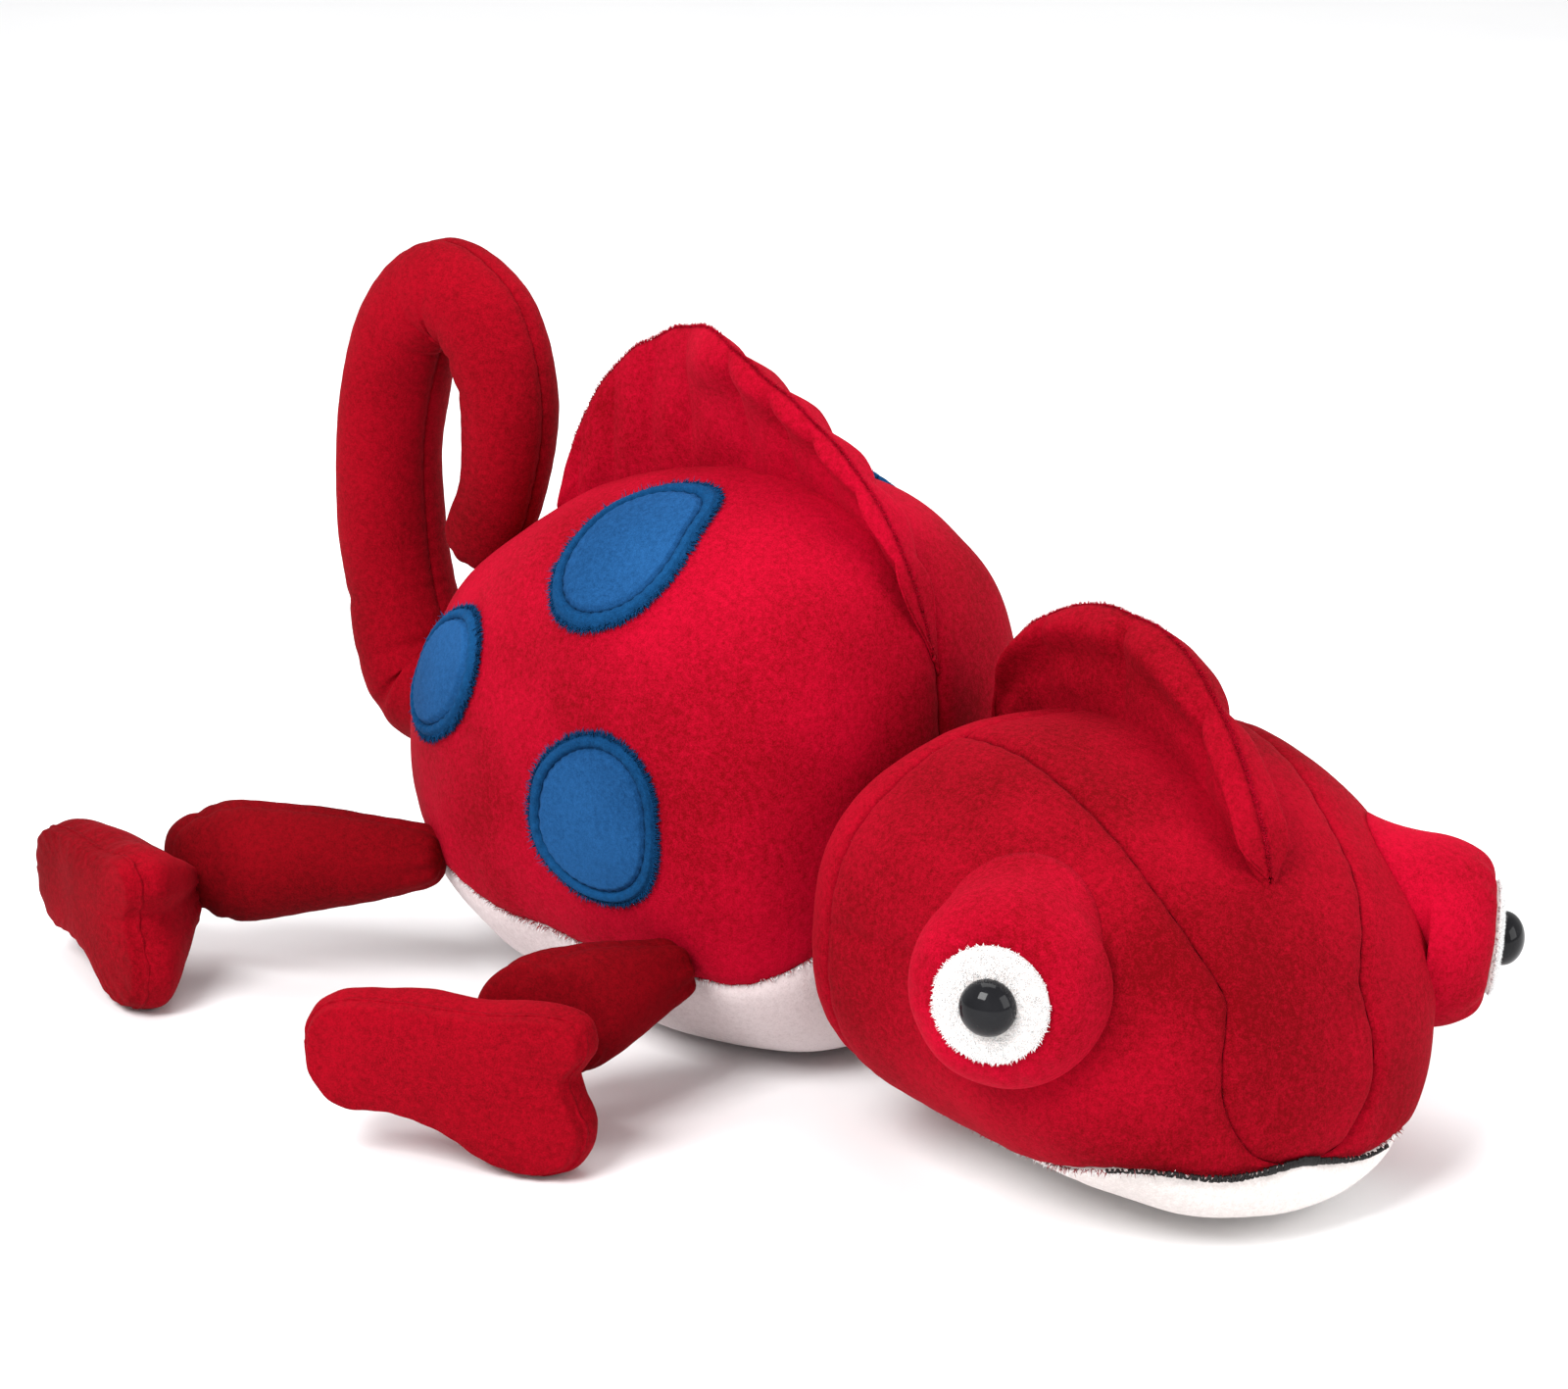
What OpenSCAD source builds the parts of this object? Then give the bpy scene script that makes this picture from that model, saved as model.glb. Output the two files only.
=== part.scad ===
// Stuffed plush chameleon: soft fabric skins sewn over separate fibre fillings, lying on its belly.
// Frame: +X towards the head, +Y to the animal's left, +Z up; the origin is on the floor under the belly.

/* [Torso] */
// Length of the torso, tail seam to neck seam
torso_len = 162; // [155:1:172]
// Width of the torso at its fullest
torso_w = 116; // [106:1:120]
// Height of the torso without its crest
torso_h = 138; // [130:1:142]
// Height that the back crest stands above the spine seam
crest_h = 34; // [30:1:38]

/* [Head] */
// Length of the head, neck to snout
head_len = 124; // [118:1:128]
// Width of the head between the cheeks
head_w = 134; // [126:1:138]
// Height of the head without its crest
head_h = 100; // [94:1:104]
// Turn of the head from straight ahead, negative towards the animal's right
head_yaw = -15; // [-18:1:-8]
// Lean of the head, negative lowers the animal's left cheek
head_roll = -5.5; // [-8:0.5:0]
// Height that the head crest stands above the head
head_crest_h = 23; // [16:1:25]

/* [Eyes] */
// Radius of the sewn eye turret
turret_r = 23; // [20:0.5:24]
// Height of the turret above the cheek
turret_h = 16; // [14:0.5:19]
// Radius of the white plush disc
disc_r = 14.4; // [13:0.1:15]
// Radius of the moulded black safety eye
eye_r = 6.3; // [5:0.1:7]
// Radius of the safety eye's shank
shank_r = 2.2; // [1.8:0.1:2.6]

/* [Tail] */
// Radius of the tail tube where it leaves the torso
tail_root_r = 15; // [13:0.5:17]
// Radius of the tail tube round the curl
tail_curl_r = 13; // [11:0.5:13.5]

/* [Legs] */
// Radius of a leg just above the ankle
leg_r = 15.5; // [12:0.5:17]
// Thickness of a foot from sole to ankle
foot_t = 25; // [22:0.5:27]
// Length of a sole from heel to toes
sole_len = 70; // [68:1:78]

/* [Fabric] */
// Thickness of the plush fabric with its pile
skin_t = 1.5; // [1.2:0.1:1.8]
// Clearance between a skin and its filling, and between two sewn panels
seam_gap = 0.3; // [0.2:0.05:0.4]

/* [Hidden] */
LEG_KEYS = ["fr", "fl", "rr", "rl"];

RED = [0.80, 0.03, 0.14];
DARK_RED = [0.62, 0.01, 0.06];
WHITE = [0.93, 0.90, 0.88];
BLUE = [0.13, 0.35, 0.58];
BLACK = [0.03, 0.03, 0.035];
FIBRE = [0.90, 0.90, 0.86];
RIGHT = -1;
LEFT = 1;
$fn = 48;

fill_in = skin_t + seam_gap + 1;    // inset of a filling below the outside of its skin; the flat faces of a
                                    // skin reach up to 1 mm deeper than its curve
seam_angle = 0.3;                   // half the gap between two panels, in degrees round a section
section_pow = 2 / 2.35;             // roundness of the torso's and head's cross-sections

// ---- curves -------------------------------------------------------------------------------------

// Smooth curve through four neighbours of a list, t from the second to the third
function blend4(a, b, c, d, t) =
    0.5 * (2 * b + (c - a) * t + (2 * a - 5 * b + 4 * c - d) * t * t + (3 * b - a - 3 * c + d) * t * t * t);

// Point at u in 0..1 along an open list of hand-picked values
function along(list, u) =
    let (last = len(list) - 1, s = min(max(u, 0) * last, last - 0.000000001), i = floor(s))
    blend4(list[max(i - 1, 0)], list[i], list[i + 1], list[min(i + 2, last)], s - i);

// The same on a closed list
function around(list, u) =
    let (count = len(list), s = u * count, i = floor(s))
    blend4(list[(i + count - 1) % count], list[i % count], list[(i + 1) % count], list[(i + 2) % count], s - i);

function eased(low, high, v) = let (t = min(max((v - low) / (high - low), 0), 1)) t * t * (3 - 2 * t);
function signed_pow(v, p) = sign(v) * pow(abs(v), p);
function unit(v) = v / norm(v);
function flatten(rows) = [for (row = rows) each row];
function on_floor(p, height) = [p.x, p.y, max(p.z, height)];

// ---- solids from grids of points ----------------------------------------------------------------

function real_triangle(points, t) =
    norm(points[t[0]] - points[t[1]]) > 0.001
    && norm(points[t[1]] - points[t[2]]) > 0.001
    && norm(points[t[2]] - points[t[0]]) > 0.001;

function two_triangles(a, b, c, d) = [[a, b, c], [a, c, d]];

// Faces of a grid of rows x cols points starting at index base, turned over when flip is true
function grid_faces(rows, cols, base, wrap, flip) =
    [for (i = [0:rows - 2]) for (j = [0:(wrap ? cols - 1 : cols - 2)])
        let (k = (j + 1) % cols,
             a = base + i * cols + j, b = base + i * cols + k,
             c = base + (i + 1) * cols + k, d = base + (i + 1) * cols + j)
        each (flip ? two_triangles(a, d, c, b) : two_triangles(a, b, c, d))];

// A sheet of fabric between an outer and an inner grid; wrap joins the last column to the first
module sheet(outer, inner, wrap = false, flip = false) {
    rows = len(outer);
    cols = len(outer[0]);
    inside = rows * cols;
    points = concat(flatten(outer), flatten(inner));
    ends = [for (row = [0, rows - 1]) for (j = [0:(wrap ? cols - 1 : cols - 2)])
        let (a = row * cols + j, b = row * cols + (j + 1) % cols, turned = (row == 0) != flip)
        each (turned ? two_triangles(a, a + inside, b + inside, b) : two_triangles(a, b, b + inside, a + inside))];
    sides = wrap ? [] : [for (col = [0, cols - 1]) for (i = [0:rows - 2])
        let (a = i * cols + col, b = a + cols, turned = (col == 0) != flip)
        each (turned ? two_triangles(a, b, b + inside, a + inside) : two_triangles(a, a + inside, b + inside, b))];
    faces = concat(grid_faces(rows, cols, 0, wrap, flip), grid_faces(rows, cols, inside, wrap, !flip), ends, sides);
    polyhedron(points = points, faces = [for (t = faces) if (real_triangle(points, t)) t], convexity = 6);
}

// A solid filling from closed rings; both ends are drawn together to a point
module stuffing(rings, flip = false) {
    cols = len(rings[0]);
    shares = [for (k = [1:cols]) 1 / cols];
    first = [for (j = [1:cols]) shares * rings[0]];
    last = [for (j = [1:cols]) shares * rings[len(rings) - 1]];
    closed = concat([first], rings, [last]);
    points = flatten(closed);
    faces = grid_faces(len(closed), cols, 0, true, flip);
    polyhedron(points = points, faces = [for (t = faces) if (real_triangle(points, t)) t], convexity = 6);
}

// ---- torso and head surfaces --------------------------------------------------------------------

// Stations: [place along the length, half width, height of the bottom, height of the top], all as shares
TORSO_STATIONS = [[0, 0, 0.42, 0.42], [0.012, 0.24, 0.30, 0.54], [0.06, 0.46, 0.18, 0.645],
                  [0.183, 0.72, 0.07, 0.79], [0.366, 0.92, 0.005, 0.93], [0.567, 1, -0.01, 1],
                  [0.756, 0.985, -0.005, 0.995], [0.89, 0.87, 0.04, 0.92], [0.975, 0.52, 0.2, 0.76],
                  [1, 0, 0.5, 0.5]];
HEAD_STATIONS = [[0, 0, 0.50, 0.50], [0.016, 0.40, 0.28, 0.72], [0.065, 0.72, 0.15, 0.86],
                 [0.16, 0.94, 0.07, 0.95], [0.306, 1.01, 0.04, 1], [0.484, 0.99, 0.03, 1],
                 [0.66, 0.925, 0.03, 0.925], [0.82, 0.80, 0.035, 0.79], [0.927, 0.59, 0.055, 0.62],
                 [0.984, 0.31, 0.10, 0.42], [1, 0, 0.21, 0.21]];
torso_back_x = -76;
head_centre = [146.5, -5];
head_back_share = 58 / 124;         // part of the head's length behind its turning centre
head_roll_z = 50;

// A point on a loft; angle runs from -90 under the belly to 90 at the spine, inset goes inwards
function loft_point(stations, size, x0, u, angle, side, inset) =
    let (s = along(stations, u),
         shrink = 1 - 2 * inset / size.x,
         x = x0 + size.x / 2 + (s[0] - 0.5) * size.x * shrink,
         w = max(s[1] * size.y / 2 - inset, s[1] * size.y / 4),
         mid = (s[2] + s[3]) / 2 * size.z,
         half = (s[3] - s[2]) / 2 * size.z,
         h = max(half - inset, half / 2))
    [x, side * w * signed_pow(cos(angle), section_pow), mid + h * signed_pow(sin(angle), section_pow)];

function torso_point(u, angle, side, inset) =
    on_floor(loft_point(TORSO_STATIONS, [torso_len, torso_w, torso_h], torso_back_x, u, angle, side, inset),
             max(inset, 0));

// Places a point of the straight head: lean about a line head_roll_z up, then turn, then move
function place_head(p) =
    let (y = p.y * cos(head_roll) - (p.z - head_roll_z) * sin(head_roll),
         z = head_roll_z + p.y * sin(head_roll) + (p.z - head_roll_z) * cos(head_roll))
    [head_centre.x + p.x * cos(head_yaw) - y * sin(head_yaw),
     head_centre.y + p.x * sin(head_yaw) + y * cos(head_yaw), z];

module head_frame() {
    translate([head_centre.x, head_centre.y, 0]) rotate([0, 0, head_yaw])
        translate([0, 0, head_roll_z]) rotate([head_roll, 0, 0]) translate([0, 0, -head_roll_z]) children();
}

function straight_head_point(u, angle, side, inset) =
    loft_point(HEAD_STATIONS, [head_len, head_w, head_h], -head_len * head_back_share, u, angle, side, inset);

function head_point(u, angle, side, inset) =
    on_floor(place_head(straight_head_point(u, angle, side, inset)), max(inset, 0));

// Angles of the seams at u: the red sides to the white belly, the cheeks to the white chin, and the
// cheeks to the gusset
function belly_edge(u) = -29 - 4 * u;
function chin_edge(u) = -54 + 28 * eased(0.55, 0.85, u);
function gusset_edge(u) = 64 - 88 * eased(0.8, 1, u);

// The two forms as values, to hand to the modules below
ON_TORSO = function (u, angle, side, inset) torso_point(u, angle, side, inset);
ON_HEAD = function (u, angle, side, inset) head_point(u, angle, side, inset);
SPINE_SEAM = function (u) 90;
BELLY_SEAM = function (u) belly_edge(u);
CHIN_SEAM = function (u) chin_edge(u);
GUSSET_SEAM = function (u) gusset_edge(u);

// Grid over part of a form, from u0 to the end along, and between the angles that low and high give
function skin_grid(form, u0, rows, low, high, cols, side, inset) =
    [for (i = [0:rows]) let (u = u0 + (1 - u0) * i / rows, a0 = low(u) + seam_angle, a1 = high(u) - seam_angle)
        [for (j = [0:cols]) form(u, a0 + (a1 - a0) * j / cols, side, inset)]];

// One panel on one side of the animal
module side_panel(form, u0, rows, low, high, cols, side) {
    sheet(skin_grid(form, u0, rows, low, high, cols, side, 0),
          skin_grid(form, u0, rows, low, high, cols, side, skin_t), flip = side == LEFT);
}

// Half of the angle round a whole section: 0 at the animal's right, rising over the spine to the left
function full_ring(form, u, cols, inset) =
    [for (j = [0:cols - 1]) let (t = 360 * j / cols, left = t > 90 && t < 270)
        form(u, left ? 180 - t : (t >= 270 ? t - 360 : t), left ? LEFT : RIGHT, inset)];

// A panel across the middle, from edge angle on the right to the same angle on the left
function middle_row(form, u, edge, cols, inset) =
    let (pole = edge > 0 ? 90 : -90)
    [for (j = [0:cols]) let (s = 2 * j / cols - 1)
        form(u, pole + (edge - pole) * abs(s), s < 0 ? RIGHT : LEFT, inset)];

module middle_panel(form, u0, rows, edge, cols) {
    grid = function (inset) [for (i = [0:rows]) let (u = u0 + (1 - u0) * i / rows, a = edge(u))
        middle_row(form, u, a + seam_angle * sign(a), cols, inset)];
    sheet(grid(0), grid(skin_t), flip = edge(0) < 0);
}

// ---- torso --------------------------------------------------------------------------------------

torso_rows = 18;

module torso_side(side) {
    color(RED)
        side_panel(ON_TORSO, 0, torso_rows, BELLY_SEAM, SPINE_SEAM, 8, side);
}
module belly_panel() {
    color(WHITE) middle_panel(ON_TORSO, 0, torso_rows, BELLY_SEAM, 10);
}
module torso_filling() {
    color(FIBRE) stuffing([for (i = [1:15]) full_ring(ON_TORSO, i / 16, 24, fill_in)]);
}

// ---- spots --------------------------------------------------------------------------------------

// Spots: [place along the torso, angle, half size along, half size round in degrees]
SPOTS = [["upper", 0.567, 53, 0.065, 22], ["rear", 0.36, 22, 0.078, 17], ["lower", 0.597, -2, 0.071, 13.5]];

module spot(key, side) {
    s = SPOTS[search([key], SPOTS)[0]];
    disc = function (inset) [for (ring = [0:3]) [for (j = [0:17])
        torso_point(s[1] + s[3] * ring / 3 * cos(20 * j), s[2] + s[4] * ring / 3 * sin(20 * j), side, inset)]];
    color(BLUE) sheet(disc(-seam_gap - skin_t), disc(-seam_gap), wrap = true, flip = side == LEFT);
}

// ---- crests -------------------------------------------------------------------------------------

// Top edges of the crests: [x, share of the crest's height], from the tail end to the neck or snout end
BACK_CREST = [[-36, 0.05], [-35, 0.4], [-28, 0.68], [-16, 0.90], [0, 1], [15, 1.02], [28, 0.98],
              [42, 0.82], [56, 0.62], [68, 0.48], [78, 0.38], [83, 0.12]];
HEAD_CREST = [[-52, 0.08], [-51, 0.5], [-45, 0.9], [-32, 1.04], [-16, 1.04], [0, 1], [16, 0.92],
              [28, 0.8], [37, 0.6], [43, 0.34], [45, 0.08]];
crest_base_t = 6;                   // half thickness of a crest at its base
crest_edge_t = 2;                   // half thickness of a crest along its edge
crest_fill_share = 0.85;            // share of a crest's height that its filling reaches
crest_rows = 16;

TORSO_SPINE = [for (i = [0:60]) let (p = torso_point(i / 60, 90, RIGHT, 0)) [p.x, p.z]];
HEAD_SPINE = [for (i = [0:60]) let (p = straight_head_point(i / 60, 90, RIGHT, 0)) [p.x, p.z]];

// One side of a crest as rows from its base to its edge, shaved by cut from its half thickness
function crest_grid(edge, spine, height, side, cut, reach) =
    [for (i = [0:crest_rows]) let (p = along(edge, i / crest_rows), base = lookup(p[0], spine) + seam_gap)
        [for (j = [0:4]) let (thick = crest_base_t + (crest_edge_t - crest_base_t) * pow(j / 4, 0.7))
            [p[0], side * max(thick - cut, seam_gap / 2), base + reach * j / 4 * p[1] * height]]];

module crest_side(edge, spine, height, side) {
    color(RED) sheet(crest_grid(edge, spine, height, side, 0, 1),
                     crest_grid(edge, spine, height, side, skin_t, 1), flip = side == LEFT);
}
module crest_filling(edge, spine, height) {
    color(FIBRE) sheet(crest_grid(edge, spine, height, RIGHT, fill_in, crest_fill_share),
                       crest_grid(edge, spine, height, LEFT, fill_in, crest_fill_share));
}

// ---- head ---------------------------------------------------------------------------------------

back_seam_u = 0.36;                 // place of the seam between the back panel and the face panels
seam_u = 0.002;                     // half the gap at that seam, as a share of the head's length
face_rows = 14;

module head_side(side) {
    color(RED) side_panel(ON_HEAD, back_seam_u + seam_u, face_rows, CHIN_SEAM, GUSSET_SEAM, 8, side);
}
module head_gusset() {
    color(RED) middle_panel(ON_HEAD, back_seam_u + seam_u, face_rows, GUSSET_SEAM, 8);
}
module chin_panel() {
    color(WHITE) middle_panel(ON_HEAD, back_seam_u + seam_u, face_rows, CHIN_SEAM, 8);
}
module head_back_panel() {
    color(RED) sheet([for (i = [0:6]) full_ring(ON_HEAD, (back_seam_u - seam_u) * i / 6, 24, 0)],
                     [for (i = [0:6]) full_ring(ON_HEAD, (back_seam_u - seam_u) * i / 6, 24, skin_t)],
                     wrap = true);
}
module head_filling() {
    color(FIBRE) stuffing([for (i = [1:15]) full_ring(ON_HEAD, i / 16, 24, fill_in)]);
}

// The stitched mouth: a thick satin line on the seam between the cheeks and the chin, round the snout
mouth_r = 0.9;
mouth_from_u = 0.75;
module mouth_embroidery() {
    reach = 14;
    line = [for (i = [-reach:reach]) let (u = mouth_from_u + (0.985 - mouth_from_u) * (1 - pow(abs(i) / reach, 2)))
        head_point(u, chin_edge(u) + 4, i < 0 ? RIGHT : LEFT, -mouth_r - seam_gap)];
    color(BLACK) stuffing([for (i = [0:len(line) - 1])
        let (way = unit(line[min(i + 1, len(line) - 1)] - line[max(i - 1, 0)]),
             across = unit(cross(way, [0, 0, 1])), up = cross(across, way))
        [for (k = [0:7]) line[i] + mouth_r * (cos(45 * k) * across + sin(45 * k) * up)]]);
}

// ---- eyes ---------------------------------------------------------------------------------------

eye_forward = 31;                   // place of the middle of a turret's base in the straight head
eye_out = 57;
eye_height = 57;
eye_turn = 52;                      // direction of an eye, from straight ahead towards its side
// Middle and half sizes of a turret's base on the cheek: [u, angle, half u, half angle]
TURRET_BASE = [0.63, 20, 0.09, 29];
disc_t = 2;
eye_dome_h = 5;
shank_len = 11;
shank_fit = 0.1;                    // radial clearance between the shank and what it goes through
washer_r = 8;
washer_t = 1.6;
turret_sides = 24;

// Straight-head point at radius r, height h along the eye's axis and angle t round it
function eye_point(side, r, h, t) =
    [eye_forward + h * cos(eye_turn) - r * cos(t) * sin(eye_turn),
     side * (eye_out + h * sin(eye_turn) + r * cos(t) * cos(eye_turn)), eye_height + r * sin(t)];

module eye_frame(side) {
    head_frame() translate([eye_forward, side * eye_out, eye_height])
        rotate([0, 0, side * eye_turn]) rotate([0, 90, 0]) children();
}

// Rings of a turret: the first follows the cheek, the rest are circles up to the flat end
function turret_rings(side, inset, hole_r) =
    let (base = [for (k = [0:turret_sides - 1]) let (t = 360 * k / turret_sides,
             shrink = 1 - inset / turret_r)
             straight_head_point(TURRET_BASE[0] - TURRET_BASE[2] * shrink * cos(t),
                                 TURRET_BASE[1] + TURRET_BASE[3] * shrink * sin(t), side, -seam_gap)],
         flat = disc_r - inset, wide = turret_r - inset, high = turret_h - inset,
         domes = [for (t = [10:20:90]) [flat + (wide - flat) * cos(t), high * sin(t)]],
         circles = [for (d = concat(domes, [[hole_r, high]]))
             [for (k = [0:turret_sides - 1]) eye_point(side, d[0], d[1], 360 * k / turret_sides)]])
    [for (ring = concat([base], circles)) [for (p = ring) on_floor(place_head(p), 0)]];

module turret_skin(side) {
    color(RED) sheet(turret_rings(side, 0, shank_r + shank_fit), turret_rings(side, skin_t, shank_r + shank_fit),
                     wrap = true, flip = side == LEFT);
}
module turret_filling(side) {
    rings = turret_rings(side, fill_in, washer_r);
    under = [for (size = [0.15, 0.4, 0.7]) [for (k = [0:turret_sides - 1]) let (t = 360 * k / turret_sides)
        place_head(straight_head_point(TURRET_BASE[0] - TURRET_BASE[2] * size * cos(t),
                                       TURRET_BASE[1] + TURRET_BASE[3] * size * sin(t), side, -2 * seam_gap))]];
    color(FIBRE) difference() {
        stuffing(concat(under, [for (i = [0:len(rings) - 2]) if (i != 1) rings[i]]), flip = side == LEFT);
        eye_frame(side) translate([0, 0, turret_h - shank_len]) cylinder(h = shank_len, r = washer_r + seam_gap);
    }
}
module eye_disc(side) {
    color(WHITE) eye_frame(side) rotate_extrude()
        translate([shank_r + shank_fit, turret_h + seam_gap / 2])
            polygon([[0, 0], [disc_r - shank_r, 0], [disc_r - shank_r, disc_t * 0.6],
                     [disc_r * 0.6, disc_t], [0, disc_t]]);
}
module safety_eye(side) {
    dome_base = turret_h + disc_t + seam_gap;
    color(BLACK) eye_frame(side) union() {
        translate([0, 0, dome_base]) rotate_extrude()
            polygon(concat([[0, 0], [eye_r, 0]], [for (t = [0:10:90]) [eye_r * cos(t), 1 + eye_dome_h * sin(t)]]));
        translate([0, 0, dome_base - shank_len]) cylinder(h = shank_len + 0.5, r = shank_r);
    }
}
module eye_washer(side) {
    color(WHITE) eye_frame(side) translate([0, 0, turret_h - fill_in - washer_t]) difference() {
        cylinder(h = washer_t, r = washer_r);
        translate([0, 0, -1]) cylinder(h = washer_t + 2, r = shank_r + shank_fit / 2);
    }
}

// ---- tail ---------------------------------------------------------------------------------------

// Middle line of the tail in the plane y = 0: out of the torso, up, and round in a curl
TAIL_LINE = [[-79.6, 60], [-89.5, 63.5], [-97, 83], [-100, 104], [-98.5, 131], [-90.5, 155], [-77, 165.5], [-63, 159],
             [-56.5, 141], [-60, 118], [-70, 97]];
TAIL_SHARES = [0, 0.1, 0.4, 0.6, 0.75, 0.9, 1, 1, 1, 0.95, 0.9];
tail_rows = 26;
tip_round = 0.94;                   // place along the tail where its tip begins to close

function tail_radius(u) =
    tail_root_r + (tail_curl_r - tail_root_r) * min(along(TAIL_SHARES, u), 1);
function tail_full_radius(u) =
    let (late = max(u - tip_round, 0) / (1 - tip_round), thin = u > 0.75 ? 1 - 0.9 * (u - 0.75) : 1)
    tail_radius(u) * thin * sqrt(max(1 - late * late, 0));

// Ring of points round the tail, phi from -90 inside the curl to 90 outside it
function tail_point(u, phi, side, inset) =
    let (p = along(TAIL_LINE, u), a = along(TAIL_LINE, max(u - 0.004, 0)), b = along(TAIL_LINE, min(u + 0.004, 1)),
         way = unit(b - a), out = [-way[1], way[0]], r = max(tail_full_radius(u) - inset, 0))
    [p[0] + r * sin(phi) * out[0], side * r * cos(phi), p[1] + r * sin(phi) * out[1]];

module tail_side(side) {
    color(RED) sheet(
        [for (i = [0:tail_rows]) [for (j = [0:6]) tail_point(i / tail_rows, -89 + 178 * j / 6, side, 0)]],
        [for (i = [0:tail_rows]) [for (j = [0:6]) tail_point(i / tail_rows, -89 + 178 * j / 6, side, skin_t)]],
        flip = side == LEFT);
}
module tail_filling() {
    color(FIBRE) stuffing([for (i = [0:tail_rows - 2]) [for (k = [0:11]) let (t = 30 * k)
        tail_point(0.01 + 0.97 * i / tail_rows, t <= 90 ? t : (t < 270 ? 180 - t : t - 360),
                   t > 90 && t < 270 ? LEFT : RIGHT, fill_in)]]);
}

// ---- legs and feet ------------------------------------------------------------------------------

// Right legs: [key, root, ankle, direction the sole faces, shift of the sole towards its heel, angle that
// its toes are raised]
LEGS = [["f", [50.2, -54.4, 33], [37, -92, 27], -66, 10, 0], ["r", [-44.5, -43, 35], [-100, -73, 28], -110, 4, 6]];
// Radius along a leg: [share of its length, share of leg_r], with a small rounded root and a domed ankle
LEG_PROFILE = [[0, 0.2], [0.03, 0.32], [0.12, 0.5], [0.3, 0.72], [0.52, 0.88], [0.75, 1], [0.89, 0.95],
               [0.955, 0.74], [0.985, 0.48], [1, 0.2]];
// Outline of a sole round its middle, toes at +x, as shares of its length; the lower toe is the longer
SOLE = [[-0.49, 0.02], [-0.46, 0.12], [-0.36, 0.18], [-0.14, 0.195], [0.13, 0.19], [0.36, 0.21], [0.47, 0.18],
        [0.49, 0.09], [0.43, 0], [0.455, -0.09], [0.49, -0.18], [0.44, -0.30], [0.32, -0.35], [0.16, -0.32],
        [0, -0.235], [-0.19, -0.19], [-0.37, -0.185], [-0.47, -0.10]];
sole_middle_z = 24.8;               // height of the middle of a level sole over the floor
tip_drop = 0.36;                    // how much lower it is for each degree that the toes are raised
ankle_gap = 1.2;
ankle_spread = 0.34;                // size of a foot's flat back, as a share of its outline
sole_t = 3;

function leg_of(key) = LEGS[search([key[0]], LEGS)[0]];
function mirrored(key, p) = key[1] == "r" ? p : [p.x, -p.y, p.z];

function leg_ring(key, u, cols, inset) =
    let (leg = leg_of(key), s = along(LEG_PROFILE, u), turn = pow(s[0], 2),
         way = unit(unit(leg[2] - leg[1]) * (1 - turn) + [cos(leg[3]), sin(leg[3]), 0] * turn),
         across = unit(cross(way, [0, 0, 1])), up = cross(across, way),
         r = max(leg_r * s[1] - inset, 0.6), c = leg[1] + (leg[2] - leg[1]) * s[0])
    [for (k = [0:cols - 1]) let (t = 360 * k / cols) mirrored(key, c + r * (cos(t) * across + sin(t) * up))];

module leg_skin(key) {
    color(DARK_RED) sheet([for (i = [0:10]) leg_ring(key, i / 10, 14, 0)],
                          [for (i = [0:10]) leg_ring(key, i / 10, 14, skin_t)], wrap = true, flip = key[1] == "l");
}
module leg_filling(key) {
    color(FIBRE) stuffing([for (i = [1:9]) leg_ring(key, i / 10, 12, fill_in)], flip = key[1] == "l");
}

// A ring of the foot: the sole's outline scaled by size, depth back from the sole, inset inwards
function foot_ring(key, size, depth, inset) =
    let (leg = leg_of(key), n = [cos(leg[3]), sin(leg[3]), 0], toe = [-n.y, n.x, 0], tip = leg[5],
         middle = leg[2] + n * (foot_t + ankle_gap) - toe * leg[4], shrink = 1 - inset / (sole_len * 0.25))
    [for (k = [0:23]) let (q = around(SOLE, k / 24) * sole_len * size * max(shrink, 0.05),
             ahead = q[0] * cos(tip) - q[1] * sin(tip), above = q[0] * sin(tip) + q[1] * cos(tip))
        mirrored(key, on_floor([middle.x, middle.y, sole_middle_z - tip * tip_drop] + ahead * toe
                               + [0, 0, above] - n * depth, max(inset, 0)))];

// Shape of a foot's upper: [share of foot_t back from the sole, size of the outline]
UPPER = [[0.12, 1], [0.3, 0.98], [0.5, 0.85], [0.72, 0.66], [0.9, 0.46], [1, ankle_spread]];

module foot_upper(key) {
    color(RED) sheet([for (s = UPPER) foot_ring(key, s[1], s[0] * foot_t, 0)],
                     [for (s = UPPER) foot_ring(key, s[1], min(s[0] * foot_t, foot_t - skin_t), skin_t)],
                     wrap = true, flip = key[1] == "r");
}
module sole(key) {
    color(RED) stuffing([for (s = [[0.8, 0], [0.95, 0.6], [1, sole_t - seam_gap]]) foot_ring(key, s[0], s[1], 0)],
                        flip = key[1] == "r");
}
module foot_filling(key) {
    deepest = foot_t - fill_in - 0.4;
    color(FIBRE) stuffing([for (s = UPPER) foot_ring(key, s[1] * 0.97, min(s[0] * foot_t + seam_gap, deepest), fill_in)],
                          flip = key[1] == "r");
}

// ---- the pieces ---------------------------------------------------------------------------------

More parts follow.
